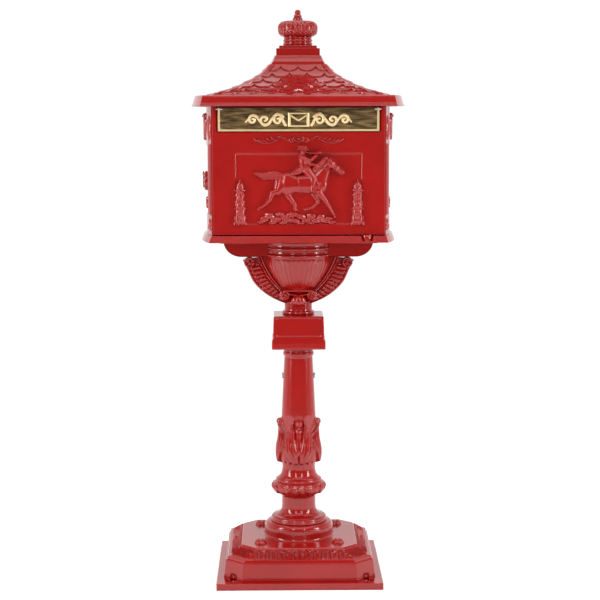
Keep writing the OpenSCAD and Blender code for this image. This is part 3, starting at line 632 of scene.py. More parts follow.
def column_profile():
    """Radius and height up the column."""
    foot, low = COLUMN_HIGH[0], SOCKET_TOP
    return dense([(30, low - 8), (44, low - 8), (44, low + 0.1), (foot - 1, low + 0.1), (foot, low + 1.2),
        (foot, low + 4.6), (foot - 1.3, low + 5.6), (foot - 1.3, low + 8.2), (foot - 2.4, low + 9.6),
        (foot - 5, low + 10.6)] + arc((foot - 5, low + 27), 15.4, -90, -178, 14) + [(31.4, 122),
        (31.4, 134)] + arc((38, 136), 6.6, 170, 100, 6) + arc((30, TORUS_Z), 15, -62, 36,
        20) + [(40.6, 166.2), (42.0, 167.4), (42.2, 169.6), (41.6, 171.2), (40.2, 172), (36.6, 174.6),
        (33.4, 178.6), (31.4, 184), (30.4, 190), (30.4, 195), (30.4, 200), (31.3, 262), (31.3, 291),
        (26, 396), (26.2, 399), (27.6, 400.6), (28.2, 402.4), (28.2, 405.6), (27.2, 407), (26.6, 409),
        (26.6, 412), (28.6, 414), (29.4, 416)], 1.1)


def leaf_curl(name, turn):
    """Rolled tip of a leaf: a fat roll with a small one under it."""
    rolls = []
    for half, r, out, z in ((8.6, 6.4, 34.6, 276.6), (6.0, 3.8, 35.2, 269.0)):
        rings = []
        around = np.linspace(0, 2 * np.pi, 40, endpoint=False)
        for t in np.linspace(-1, 1, 33)[1:-1]:
            size = r * math.sqrt(1 - abs(t) ** 2.6)
            bend = 5.0 * t * t
            rings.append(xyz(half * t, -(out - bend) - size * np.cos(around),
                z - 2.2 * t * t + size * 1.05 * np.sin(around)))
        rolls.append(loft(name, turn_z(np.array(rings), turn)))
    return rolls


def turn_z(points, degrees):
    """Points turned about the vertical axis."""
    a = math.radians(degrees)
    rotation = np.array([[math.cos(a), -math.sin(a), 0], [math.sin(a), math.cos(a), 0], [0, 0, 1]])
    return points @ rotation.T


def build_column():
    shaft = turned("column_casting", column_profile(), segments=256, swell=column_swell, sharp=60)
    curls = joined("leaf_curls", [roll for turn in (0, 90, 180, 270) for roll in leaf_curl("leaf_curl",
        turn)])
    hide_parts("column")
    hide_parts("column")


# ---------------------------------------------------------------- capital block

def build_capital():
    """Square block on a wider band, with a sunk panel in each face."""
    loops = []
    low, top = 416.0, CAPITAL_HIGH[2]

    def level(half, z):
        points, along = square_loop(half)
        out = points / np.abs(points).max(1)[:, None]
        loops.append(at_height(points - out * panel_depth(along, z)[:, None], z))

    for half, z in ((27, low), (46.5, low), (48.0, low + 0.5), (48.5, low + 1.5)):
        level(half, z)
    for z in np.linspace(low + 3, 431, 4):
        level(48.5, z)
    for half, z in ((48.0, 432.5), (46.6, 436.0), (46.4, 437.5)):
        level(half, z)
    for z in np.arange(438.5, top - 2, 1.0):
        level(46.4 - 1.2 * (z - 438) / 38, z)
    for half, z in ((45.1, top - 1.2), (44.4, top - 0.3), (43.5, top), (27, top)):
        level(half, z)
    block = loft("capital_casting", loops, sharp=45)
    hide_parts("capital_block")


def square_loop(half):
    """Points round a square with small chamfers and their places along its sides, finer near the corners."""
    flat = half - 1.2
    t = np.concatenate([[-1], np.linspace(-0.985, 0.985, 64), [0.9999]])
    edge = np.stack([t * flat, np.full_like(t, -half)], -1)
    points = [edge @ np.linalg.matrix_power(QUARTER_TURN, k).T for k in range(4)]
    return np.concatenate(points), np.concatenate([t * flat] * 4)


def panel_depth(along, z):
    """Depth of the capital's sunk panel."""
    inset = np.minimum(42.0 - np.abs(along), np.minimum(z - 439.5, 473.0 - z))
    return 1.5 * smooth_step(inset, 0, 1.7)


# ---------------------------------------------------------------- bracket

BOWL_LOW, BOWL_RIM = 514.0, 583.0
ARM_FACE = 15.0
EYE_OUT = 25.0


def bowl_profile():
    """Radius and height of the neck, the bowl and the drum."""
    top = BRACKET_HIGH[2]
    foot = CAPITAL_HIGH[2]
    bowl = [(21 + 38.5 * math.sin(math.radians(90 * t)) ** 0.92, BOWL_LOW + (BOWL_RIM - 2 - BOWL_LOW) * t)
            for t in np.linspace(0.02, 1, 40)]
    return dense([(12, foot), (28.6, foot)] + arc((26, foot + 3.4), 3.6, -60, 80, 8) + [(25.4, foot + 7.4),
        (25, foot + 9), (25, 499), (23.4, 503), (21, 508), (20.4, 512)] + bowl + [(60.4, 583),
        (62.4, 583.6), (63.2, 585), (62.8, 587.2), (60.8, 588.4), (60.2, 590.4), (60.2, 594), (61.2, 595.2),
        (62.6, 596.6), (62.8, 599), (61.6, 600.8), (61, 602.4), (61, 605), (62, 606.4), (63, 608),
        (63, top), (12, top)], 1.3)


def bowl_swell(angle, z, radius):
    """Reeds up the bowl that fade out towards its rim."""
    reeds = 1.1 * np.abs(np.cos(angle * 20)) ** 0.8 - 0.9
    fade = smooth_step(z, 516, 526) * (1 - smooth_step(z, 566, 580))
    return reeds * fade


def arm_edges():
    """Outer and inner edge of the scroll arm, from the neck to the volute, as (x, z)."""
    outer = curve([(24, 496.5), (44.5, 505), (63, 517), (81.6, 536), (92.7, 559), (101, 576)], 90)
    inner = curve([(18, 514), (25, 524), (34, 538), (44, 555), (52, 569), (58, 584)], 90)
    return outer, inner


def scroll_arm(side):
    """Band with a smooth border on each edge and slanted leaves between them."""
    outer, inner = arm_edges()
    lines = np.linspace(0, 1, 90)
    across = steps((0, 0.02), (0.12, 0.03), (0.86, 0.02), (1, 0.02))

    def place(u, v, y):
        k = np.clip(u * 89, 0, 88.999)
        i = k.astype(int)
        f = (k - i)[..., None]
        a = outer[i] * (1 - f) + outer[i + 1] * f
        b = inner[i] * (1 - f) + inner[i + 1] * f
        p = a + (b - a) * v[..., None]
        return xyz(side * p[..., 0], y, p[..., 1])

    def relief(u, v):
        border = sum(2.4 * bell(v - c, 0.04, 4) for c in (0.055, 0.66, 0.77))
        beat = (u * 12.5 + 0.9 * v) % 1.0
        leaf = 3.0 * dome(((beat - 0.5) / 0.46) ** 2)
        field = smooth_step(v, 0.11, 0.16) * (1 - smooth_step(v, 0.54, 0.6))
        return border + leaf * field * smooth_step(u, 0.04, 0.1) * (1 - smooth_step(u, 0.84, 0.9))

    band = slab("arm_band", lines, across,
                lambda u, v: place(u, v, -(ARM_FACE - 3.0 + relief(u, v))),
                lambda u, v: place(u, v, ARM_FACE - 3.0 + relief(u, v)), sharp=50)
    volute = turned("volute", dense([(0.5, -19.5), (2.6, -19.3), (3.2, -18.4), (3.6, -16.8), (4.6, -16.6),
        (5.4, -17.4), (6.6, -18.6), (8.2, -18.8), (9.2, -18.0), (9.8, -16.6), (10.2, -14), (10.2, 14),
        (9.8, 16.6), (9.2, 18.0), (8.2, 18.8), (6.6, 18.6), (5.4, 17.4), (4.6, 16.6), (3.6, 16.8),
        (3.2, 18.4), (2.6, 19.3), (0.5, 19.5)], 1.0), segments=48, place=(side * 88.5, 0, 571.5), axis="y")
    return [band, volute]


def wing_bar():
    """Cross bar that carries the box, with quarter-round ends."""
    half, reach = BRACKET_HIGH[0], 32.0
    top, low = BRACKET_HIGH[2], 583.0
    ends = [(half - reach + reach * math.cos(a), top - (top - low) * math.sin(a))
            for a in np.linspace(0, math.pi / 2, 14)]
    outline = np.array([(-x, z) for x, z in ends] + ends[::-1])
    middle = np.array([0, (top + low) / 2])
    rings = []
    for y, inset in ((-28.8, 1.2), (-30, 0.2), (-30, 0), (30, 0), (30, 0.2), (28.8, 1.2)):
        shrink = 1 - inset / np.array([half, (top - low) / 2])
        ring = middle + (outline - middle) * shrink
        rings.append(xyz(ring[:, 0], float(y), ring[:, 1]))
    return loft("wing_bar", rings, sharp=35)


def ionic_scroll(face):
    """Small scroll with two eyes and a drop under it, on the front (-1) or the back (1)."""
    us, vs = mirrored(steps((0, 0.6), (34, 0.6))), steps((490, 0.6), (526, 0.6))

    def relief(x, z):
        drop = disc(x, 1.25 * (z - 502) + 502, (0, 502), 14.0, 9.0)
        parts = [np.where(drop > 0, drop + 0.5 * np.cos(x * 1.5) * (z < 503), 0),
            chain(x, z, [(-EYE_OUT, 520.6), (-12, 521.4), (0, 521.8), (12, 521.4), (EYE_OUT, 520.6)],
            [2.6, 3.4, 3.6, 3.4, 2.6], 7.0), chain(x, z, [(-16, 514.6), (0, 511.6), (16, 514.6)],
            [1.7, 1.6, 1.7], 3.6), chain(x, z, [(-7.4, 507.2), (0, 508.8), (7.4, 507.2)], [2.6, 3.4, 2.6],
            5.6)]
        for hand in (-1, 1):
            eye = (hand * EYE_OUT, 511.5)
            parts += [coil(x, z, eye, 8.6, 1.35, 90, (2.3, 1.3), 4.2, hand), disc(x, z, eye, 2.6, 5.0),
                disc(x, z, eye, 9.6, 2.2), chain(x, z, [(hand * 8, 502.5), (hand * 12.6, 499.5)], [3, 1.6],
                3.6)]
        return highest(*parts)

    return slab("ionic_scroll", us, vs, lambda u, v: xyz(u, face * (24.5 + relief(u, v) - 0.002 * u * u), v),
                lambda u, v: xyz(u, face * 14.0, v), keep=lambda u, v: relief(u, v) > 0.05, sharp=55)


def build_bracket():
    bowl = turned("urn_bowl", bowl_profile(), segments=320, swell=bowl_swell, sharp=60)
    arms = joined("scroll_arms", scroll_arm(-1) + scroll_arm(1))
    wings = wing_bar()
    scrolls = joined("ionic_scrolls", [ionic_scroll(-1), ionic_scroll(1)])
    for piece in (bowl, arms, wings, scrolls):
        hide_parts("urn_bracket")


# ---------------------------------------------------------------- side walls

BODY_MID = WALL_HIGH[0]
WALL_T = 5.0
WALL_FRONT = -96.5
LOCK_Z, PAD_Z = 717, 719.5
PAD_INNER, PAD_HOLE, LOCK_BORE = -157, 8.4, 9.0


def bowed_x(mid, y):
    """Half width of a bowed plan at a distance y from the middle."""
    return np.sqrt((BOW + mid) ** 2 - y**2) - BOW


def side_relief(y, z):
    """Frame, sunk panel and cast ornaments of a side wall, outward from its plain face."""
    low, high = WALL_LOW[2], WALL_HIGH[2]
    edge = -WALL_FRONT - np.abs(y)
    groove = -1.3 * bell(edge - 26.5, 1.4, 4) * (z > low + 4) * (z < high - 8)
    reeds = sum(2.4 * dome(((edge - c) / 4.6) ** 2) for c in (8.4, 18.4))
    strip = reeds * smooth_step(z, 660, 664) * (1 - smooth_step(z, 785, 789))
    leaf = 4.0 * np.sqrt(np.clip(1 - ((edge - 13.4) / 8.5) ** 2 - ((z - 815) / 22) ** 2, 0, 1))
    leaf = leaf - 1.2 * bell(edge - 13.4, 0.9) * (leaf > 1)
    buds = [disc(edge, z, (c, 641), 6.4, 3.2) for c in (7.4, 19.4)]
    strip = highest(strip, leaf, disc(edge, z, (13.4, 651), 5.0, 3.0), *buds)
    inset = np.minimum(66.0 - np.abs(y), np.minimum(z - 661.0, 785.0 - z))
    panel = -1.8 * smooth_step(inset, 0, 2.4)
    return groove + strip + panel + console_relief(y, z) + spray_relief(y, z - 679.5)


def console_relief(y, z):
    """Leaf console under the eave: five lobes over a curled tip."""
    h = np.zeros_like(y)
    for k in (-2, -1, 0, 1, 2):
        lean = 13.0 * k
        lobe = chain(y, z, [(lean * 0.35, 803), (lean * 0.9, 818), (lean * 1.5, 830 - 1.4 * abs(k))],
            [5.5, 6.2, 4.6], 5.6 - 0.6 * abs(k))
        h = blend(h, lobe, 0.6)
    roll = capsule(y, z, (-13, 836), (13, 836), 5.2, 5.2, 7.0)
    tip = capsule(y, z, (0, 806), (0, 795), 6.5, 3.2, 5.0)
    return highest(h, roll, tip)


def spray_relief(y, z):
    """Small leaf spray with two scrolls."""
    h = capsule(y, z, (0, -4), (0, 9), 4.2, 2.0, 3.6)
    for hand in (-1, 1):
        h = np.maximum(h, chain(y, z, [(hand * 3, -4), (hand * 12, 0), (hand * 20, 6), (hand * 27, 3)],
            [3.2, 2.6, 2.1, 1.2], 3.0))
        h = np.maximum(h, coil(y, z, (hand * 14.5, -4.5), 5.0, 1.1, 90, (1.7, 1.0), 2.6, -hand))
    return h


def side_wall(name, side):
    """Bowed side wall with its relief on the outside."""
    y_line = steps((WALL_FRONT, 0.8), (-72, 1.6), (-42, 0.75), (42, 1.6), (72, 0.8), (99, 0.8))
    z_line = steps((WALL_LOW[2], 1.0), (640, 1.5), (660, 0.7), (690, 2.5), (782, 0.9), (842, 1.5),
        (WALL_HIGH[2], 1.0))

    def outer(y, z):
        return xyz(side * (bowed_x(BODY_MID, y) + np.minimum(side_relief(y, z), 8.0)), y, z)

    def inner(y, z):
        thin = np.clip(1 - (y - WALL_FRONT) / 5.0, 0, 1) * 3.0 if side > 0 else 0.0
        return xyz(side * (bowed_x(BODY_MID - WALL_T, y) + thin), y, z)

    return slab(name, y_line, z_line, outer, inner, sharp=42)


def bore_through(piece, place, radius, axis):
    """Cuts a round hole through a piece."""
    turn = (0, math.pi / 2, 0) if axis == "x" else (0, 0, 0)
    bpy.ops.mesh.primitive_cylinder_add(vertices=64, radius=radius * MM, depth=0.04, rotation=turn,
                                        location=[c * MM for c in place])
    cutter = bpy.context.object
    cut = piece.modifiers.new("bore", "BOOLEAN")
    cut.object = cutter
    cut.operation = "DIFFERENCE"
    bpy.context.view_layer.objects.active = piece
    with bpy.context.temp_override(object=piece, active_object=piece):
        bpy.ops.object.modifier_apply(modifier=cut.name)
    bpy.data.objects.remove(cutter)


def build_walls():
    right = side_wall("right_wall_casting", 1)
    left = side_wall("left_wall_casting", -1)
    pad_x = LOCK_LOW[0] + 0.8
    pad = turned("lock_pad", dense([(PAD_HOLE, PAD_INNER), (13, PAD_INNER), (13, -162), (17.5, -162),
        (17.5, pad_x + 2.2), (17.0, pad_x + 0.9), (15.8, pad_x + 0.1), (14.4, pad_x), (PAD_HOLE, pad_x),
        (PAD_HOLE, PAD_INNER)], 2.0), segments=96, place=(0, 0, PAD_Z), axis="x")
    bore_through(left, (LOCK_LOW[0] + 10, 0, LOCK_Z), LOCK_BORE, "x")
    left = joined("left_wall_casting", [left, pad])
    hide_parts("right_wall")
    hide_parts("left_wall")


# ---------------------------------------------------------------- roof

# Height, half width at the middle and half depth, up the slope
ROOF_CURVE = [(871.8, 168.5, 116.5), (876.4, 148, 105), (884.6, 119, 89), (898.4, 87, 70), (911, 66, 57),
    (922, 55.5, 50), (932, 48, 44.5), (942.5, 43, 41)]
SHINGLE_W, SHINGLE_P = 31.0, 15.0  # width, and pitch down the slope
FACE_COUNT, SIDE_FACE_COUNT = 220, 150


def bowed_loop(mid, half_y, z):
    """Points round a bowed plan, with the run along each face in millimetres and the face number."""
    corner = bowed_x(mid, half_y)
    t = np.linspace(-1, 1, FACE_COUNT, endpoint=False)
    s = np.linspace(-1, 1, SIDE_FACE_COUNT, endpoint=False)
    front = np.stack([t * corner, np.full_like(t, -half_y)], -1)
    right = np.stack([bowed_x(mid, s * half_y), s * half_y], -1)
    plan = np.concatenate([front, right, -front, -right])
    along = np.concatenate([t * corner, s * half_y] * 2)
    reach = np.concatenate([np.full(FACE_COUNT, corner), np.full(SIDE_FACE_COUNT, half_y)] * 2)
    return at_height(plan, z), along, reach


def shingle_relief(along, down, reach):
    """Fish-scale shingles: down is the distance from the top of the field, along the slope."""
    best = np.full(along.shape, -9.0)
    for row in range(-1, 9):
        shift = 0.5 * SHINGLE_W * (row % 2)
        u = (along + shift + SHINGLE_W / 2) % SHINGLE_W - SHINGLE_W / 2
        drop = 11.5 * (1 - dome((u / (SHINGLE_W / 2)) ** 2))
        lower = (row + 1) * SHINGLE_P + 6.0 - drop
        above = lower - down
        thick = (3.0 - 0.15 * above - 0.003 * u * u) * np.interp(row, [1, 5], [1.0, 0.55])
        best = np.where((above > 0) & (best < -5), thick, best)
    field = np.where(best < -5, 0, np.maximum(best, 0))
    near_hip = reach - np.abs(along)
    return field * smooth_step(near_hip, 7.0, 8.2) + 2.6 * (1 - smooth_step(near_hip, 5.5, 7.5))


def build_roof():
    """Eave, shingled slopes with plain hips, and a smooth neck."""
    levels = curve(ROOF_CURVE, 96)
    low = ROOF_LOW[2]
    mid, half = ROOF_HIGH[0], ROOF_HIGH[1]
    fascia = [(low, mid - 5, half - 5), (low, mid - 0.8, half - 0.8), (low + 0.8, mid, half),
        (low + 2.6, mid - 0.6, half - 0.6), (low + 4.0, mid - 2.2, half - 2.2),
        (868.4, mid - 5.6, half - 5.4), (870.6, mid - 6.4, half - 6.2), (871.6, mid - 7.6, half - 7.6),
        (871.8, mid - 12, half - 9)]
    outer = np.concatenate([dense(fascia, 3.0), levels])
    loops, alongs, reaches = zip(*(bowed_loop(m, y, z) for z, m, y in outer))
    loops, along, reach = np.array(loops), np.array(alongs), np.array(reaches)
    across = np.roll(loops, -1, 1) - np.roll(loops, 1, 1)
    up = np.gradient(loops, axis=0)
    normal = np.cross(across, up)
    normal /= np.maximum(np.linalg.norm(normal, axis=-1, keepdims=True), 1e-9)
    run = np.concatenate([[0], np.cumsum(np.linalg.norm(np.diff(outer[:, ::2], axis=0), axis=1))])
    top_of_field = np.interp(919.0, outer[:, 0], run)
    down = (top_of_field - run)[:, None] + 0 * along
    field = (smooth_step(outer[:, 0], 871.9, 873.5) * (1 - smooth_step(outer[:, 0], 926, 932)))[:, None]
    lift = shingle_relief(along, down, reach) * field * (down > -8.0)
    loops = loops + normal * lift[..., None]
    inner = [bowed_loop(m, y, z)[0] for z, m, y in (
        (938.5, 39, 37), (925, 50, 46), (898, 82, 65), (870, 160, 108), (864, mid - 9, half - 9),
        (low + 1, mid - 5, half - 5))]
    centres = [loops[-1] * [0.25, 0.25, 1], inner[0] * [0.25, 0.25, 1]]
    roof = loft("roof_casting", np.concatenate([loops, centres, inner]), closed_tube=True, sharp=34)
    soffit = slab("soffit", mirrored([0, 60, 120, 150, 170, 186.5]), mirrored([0, 60, 82, 100, 123]),
                  lambda u, v: soffit_point(u, v, 857.9), lambda u, v: soffit_point(u, v, 862.0),
                  keep=lambda u, v: (np.abs(u) > 141) | (np.abs(v) > 82))
    roof = joined("roof_casting", [roof, soffit])
    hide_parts("roof")


def soffit_point(u, v, z):
    """Point of the soffit, whose sides follow the bow."""
    edge = bowed_x(ROOF_HIGH[0] - 5.4, v)
    return xyz(np.clip(u, -edge, edge), v, z)


# ---------------------------------------------------------------- finial

def build_finial():
    """Rings, a ribbed onion with a petalled crown, and a spire."""
    low, top = FINIAL_LOW[2], FINIAL_HIGH[2]
    onion = [(24.4, 976.9)] + [(20.5 + 15.2 * math.cos(math.radians(a)) ** 0.75,
                                990.2 + 14.6 * math.sin(math.radians(a))) for a in np.linspace(-66, 80, 44)]
    profile = dense([(6, low), (25.4, low), (25.4, low + 1.4), (26.2, low + 2.4), (26.6, low + 4),
        (26.2, low + 5.6), (24.6, low + 6.8), (24.6, low + 7.4), (26.0, low + 8.4), (26.5, low + 10),
        (26.0, low + 11.6), (24.2, low + 12.8), (24.2, low + 13.3), (25.4, low + 14.2), (25.4, low + 15.8),
        (24.4, low + 16.6)] + onion + [(9.4, 1005.6), (8.9, 1006.6), (9.0, 1008.4), (8.2, 1010.2),
        (6.6, 1011), (7.2, 1012.2), (7.2, 1014.2), (6.2, 1015.8), (4.9, 1016.4)] + arc((0.3, top - 5.4),
        5.2, -32, 88, 14), 0.8)

    def swell(angle, z, radius):
        ribs = (np.abs(np.cos(angle * 13)) ** 0.8 - 0.85) * 1.9
        body = smooth_step(z, 979, 983) * (1 - smooth_step(z, 1001.5, 1004))
        tips = 0.9 * np.cos(angle * 26 + (z - 980) * 0.9) * np.sin((z - 980) * 0.55)
        return np.minimum((ribs + tips) * body, 35.7 - radius)

    finial = turned("finial_casting", profile, segments=288, swell=swell, sharp=60)
    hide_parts("finial")


# ---------------------------------------------------------------- door

FRONT_Y = DOOR_LOW[1]
DOOR_T = 7.0
POCKET_HALF, POCKET_LOW, POCKET_DEPTH = 142.3, 807.6, 3.9
SLOT_HALF, SLOT_LOW, SLOT_TOP = 122.0, 813.0, 842.0
PANEL_HALF, PANEL_LOW, PANEL_TOP = 111.5, 646.0, 771.0


def door_depth(x, z):
    """Depth of the door's face behind its front plane."""
    edge = np.minimum(DOOR_HIGH[0] - np.abs(x), np.minimum(z - DOOR_LOW[2], 900 - z))
    rounding = 1.2 * np.clip(1 - edge / 1.2, 0, 1) ** 2
    inset = np.minimum(PANEL_HALF - np.abs(x), np.minimum(z - PANEL_LOW, PANEL_TOP - z))
    panel = 1.6 * smooth_step(inset, 0, 2.2)
    pocket = np.minimum(POCKET_HALF - np.abs(x), z - POCKET_LOW)
    lip = 1.1 * np.clip(1 + pocket / 1.6, 0, 1)
    return rounding + panel + np.where(pocket > -0.02, POCKET_DEPTH, lip * (pocket > -1.6))


def build_door():
    """Door plate with its sunk panel, the flap's pocket, the letter slot and a stiffening rail."""
    half = DOOR_HIGH[0]
    xs = mirrored(steps((0, 8), (108, 4), (109.3, 0.4), (111.5, 1.2), (122, 6), (140, 1.0), (140.7, 0.4),
        (142.28, 0.02), (142.3, 2.0), (149, 0.5), (half, 0.4)))
    zs = steps((DOOR_LOW[2], 0.4), (629.5, 3), (646, 0.4), (648.2, 6), (768.8, 0.4), (771, 5), (806, 0.4),
        (807.58, 0.02), (807.6, 1.5), (813, 4), (842, 3), (DOOR_HIGH[2], 2))

    def keep(x, z):
        slot = (np.abs(x) < SLOT_HALF) & (z > SLOT_LOW)
        open_top = (np.abs(x) < POCKET_HALF) & (z > SLOT_TOP)
        return ~(slot | open_top)

    rear = FRONT_Y + DOOR_T
    plate = slab("door_plate", xs, zs, lambda x, z: xyz(x, FRONT_Y + door_depth(x, z), z),
                 lambda x, z: xyz(x, rear - np.clip(3.0 - (half - np.abs(x)), 0, 3), z),
                 keep=keep, body=DOOR, sharp=30)
    rails = slab("door_rail", mirrored([0, 60, SLOT_HALF, 126, 143, 146]),
                 [POCKET_LOW, 820, 843.5, DOOR_HIGH[2]],
                 lambda u, v: xyz(u, rear - 1.5, v), lambda u, v: xyz(u, rear + 5.0, v),
                 keep=lambda u, v: (np.abs(u) > 126) | (v > 843.5), body=DOOR)
    door = joined("door_casting", [plate, rails])
    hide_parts("door_panel")
    relief = door_relief()
    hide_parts("door_panel")


def relief_piece(name, xs, zs, height, ground):
    """Cast ornament that stands on the door: height gives its rise over the ground's depth."""
    return slab(name, xs, zs,
                lambda u, v: xyz(u, FRONT_Y + ground(u, v) - height(u, v), v),
                lambda u, v: xyz(u, FRONT_Y + ground(u, v) + 0.8, v),
                keep=lambda u, v: height(u, v) > 0.04, body=DOOR, sharp=65)


def plain(u, v):
    """Ground of the door's plain face."""
    return np.zeros_like(u)


def limb(x, z, points, radii, height):
    """A fuller, higher chain for the figures on the door."""
    return chain(x, z, points, [1.2 * r + 0.8 for r in radii], 1.7 * height)


def horse(x, z):
    """A galloping horse, built limb by limb."""
    part, dot, stub = (partial(shape, x, z) for shape in (limb, disc, capsule))
    far_legs = highest(part([(-21, 712), (-19, 698), (-7, 681), (-7, 673)], [7, 4.2, 2.2, 1.9], 2.2),
        part([(28, 708), (27, 699), (35, 687), (24, 676), (13, 673)], [6, 3.8, 2.6, 2.0, 1.9], 2.2),
        dot((-5.5, 671.5), 3.0, 2.4), dot((10.5, 672.5), 3.0, 2.4))
    body = part([(-20, 720), (-4, 717), (16, 717), (33, 722)], [14.5, 12.2, 13.5, 14.5], 4.8)
    rump = dot((-20, 717), 19.0, 8.6)
    chest = dot((32, 717), 18.5, 8.6)
    neck = part([(35, 726), (45, 742), (54, 754)], [13.5, 9.0, 6.2], 5.0)
    head = part([(54, 755), (66, 745), (76, 737)], [7.4, 6.0, 4.2], 5.6)
    muzzle = dot((79, 736.5), 3.9, 4.8)
    jaw = dot((60, 748.5), 6.0, 5.4)
    ears = np.maximum(stub((52.5, 760), (53.5, 765.5), 2.1, 0.9, 4.2),
        stub((56.5, 759.5), (58.5, 764.5), 2.0, 0.9, 4.2))
    near_hind = part([(-30, 716), (-37, 705), (-46, 702), (-50, 690), (-59, 681), (-66, 677)],
        [11.5, 6.2, 4.0, 2.8, 2.2, 2.0], 4.6)
    near_fore = part([(33, 711), (36, 701), (47, 688), (57, 671), (61, 664)], [9.0, 5.2, 3.2, 2.3, 2.0],
        4.6)
    hooves = np.maximum(stub((-67, 676), (-70.5, 674), 2.6, 3.2, 4.4),
        stub((61.5, 663), (63, 659.8), 2.6, 3.3, 4.4))
    tail = part([(-30, 731), (-44, 733), (-60, 731), (-79, 737)], [4.4, 6.2, 5.0, 1.4], 3.4)
    tail = tail + 0.45 * np.sin(z * 2.3 + x * 0.35) * (tail > 0.4)
    mane = part([(29, 741), (38, 753), (47, 762)], [5.2, 5.0, 3.4], 6.2)
    mane = mane + 0.55 * np.sin((z - x) * 1.6) * (mane > 0.5)
    h = blend(blend(blend(body, rump, 0.8), chest, 0.8), neck, 0.8)
    for near in (head, jaw, muzzle, near_hind, near_fore, hooves, ears):
        h = blend(h, near, 0.5)
    h = highest(h, mane, tail)
    h = h - 0.9 * np.exp(-(np.hypot(x - 62.5, z - 753) / 1.1) ** 2) * (h > 1)
    h = h + 0.5 * bell(np.hypot((x + 12) * 0.8, z - 712), 4) * (h > 1)
    girth = 0.55 * (bell(x - 22 - 0.15 * (z - 715), 1.1) + bell(x - 31 + 0.5 * (z - 722),
        1.1)) * (body > 1.5)
    cloth = 2.0 * smooth_step(13 - np.abs(x - 12 + 0.2 * (z - 720)), 0, 1) * (z > 707) * (z < 736)
    girth = girth + cloth * (h > 2)
    rein = part([(69, 741), (56, 741), (40, 746), (26, 752)], [0.9, 0.9, 0.9, 0.9], 6.2)
    bridle = np.maximum(part([(57, 757), (61, 744)], [0.9, 0.9], 6.3),
        part([(69, 748), (66, 740)], [0.9, 0.9], 6.2))
    return highest(h + girth, far_legs, rein, bridle * (h > 1))


def rider(x, z):
    """A calm rider with a wide hat who blows a horn."""
    x, z = 11 + (x - 11) / 1.12, 743 + (z - 743) * 1.05
    part = partial(limb, x, z)
    cloth = blend(part([(12, 743), (9, 757), (8, 766)], [7.2, 6.2, 6.0], 5.8),
        part([(14, 741), (24, 727), (23, 711)], [7.0, 5.0, 3.6], 6.8), 0.6)
    boot = part([(23, 712), (22, 703), (29, 701)], [3.6, 3.0, 2.2], 6.9)
    coat_tail = part([(9, 745), (-1, 738), (-8, 735)], [6.0, 5.0, 3.0], 5.6)
    near_arm = part([(8, 765), (19, 759), (28, 768)], [4.4, 3.4, 2.7], 7.6)
    rein_arm = part([(10, 763), (20, 752), (28, 751)], [4.0, 3.2, 2.4], 6.6)
    neck = capsule(x, z, (8, 768), (8, 772), 3.2, 3.2, 4.8)
    head = disc(x, (z - 775.5) * 0.88 + 775.5, (8.2, 775.5), 5.6, 8.0)
    face = 0.5 * np.exp(-(np.hypot(x - 12.2, z - 775) / 1.0) ** 2)
    face = face - 0.4 * np.exp(-(np.hypot(x - 10.6, z - 776.8) / 0.7) ** 2)
    face = face - 0.3 * bell(np.hypot((x - 11.4) * 0.6, z - 772.4), 0.6)
    brim = part([(-1, 779.4), (8, 780), (16, 778.6)], [1.5, 1.9, 1.5], 7.4)
    crown = part([(4.5, 783), (10, 783)], [4.0, 3.9], 6.8)
    horn = part([(13.5, 774), (22, 772.2), (28, 772), (32.5, 772.6)], [1.2, 1.5, 2.2, 3.6], 7.0)
    buttons = 0.5 * bell(np.hypot(x - 12.5, (z - 755) % 5 - 2.5), 0.7) * (np.abs(z - 755) < 9)
    folds = 0.35 * np.sin(x * 1.1 + z * 0.9) * (coat_tail > 1)
    h = blend(cloth + buttons * (cloth > 2), coat_tail + folds, 0.5)
    for near in (neck, boot, rein_arm, near_arm):
        h = blend(h, near, 0.4)
    return highest(h, (head + face) * (head > 0.5), brim, crown, horn)


# Centre x and z, half width and half height
ROCKS = [(-60, 656, 8, 6), (-51, 662, 9, 7), (-40, 655, 10, 6), (-33, 664, 9, 5), (-24, 657, 9, 7),
    (-12, 663, 11, 6), (-8, 653, 10, 5), (4, 660, 9, 6), (13, 654, 8, 5), (22, 661, 9, 6), (29, 653, 9, 5),
    (38, 659, 8, 6), (46, 653, 9, 5), (54, 657, 7, 4), (-66, 651, 7, 4), (-28, 650, 8, 4), (20, 649, 8, 4),
    (58, 650, 8, 4), (-46, 650, 9, 4), (3, 649, 8, 4)]


def rocks(x, z):
    """Uneven boulders under the horse."""
    h = np.zeros_like(x)
    for i, (cx, cz, rx, rz) in enumerate(ROCKS):
        lean = 0.35 * math.sin(2.1 * i)
        away = np.hypot((x - cx + lean * (z - cz)) / rx, (z - cz) / rz)
        facet = 0.5 * np.sin(0.7 * x + i) * np.cos(0.9 * z - i)
        h = np.maximum(h, (5.2 + 1.2 * math.sin(i) + 1.6 * facet) * dome(away**3))
    return h * (z > 646.2)


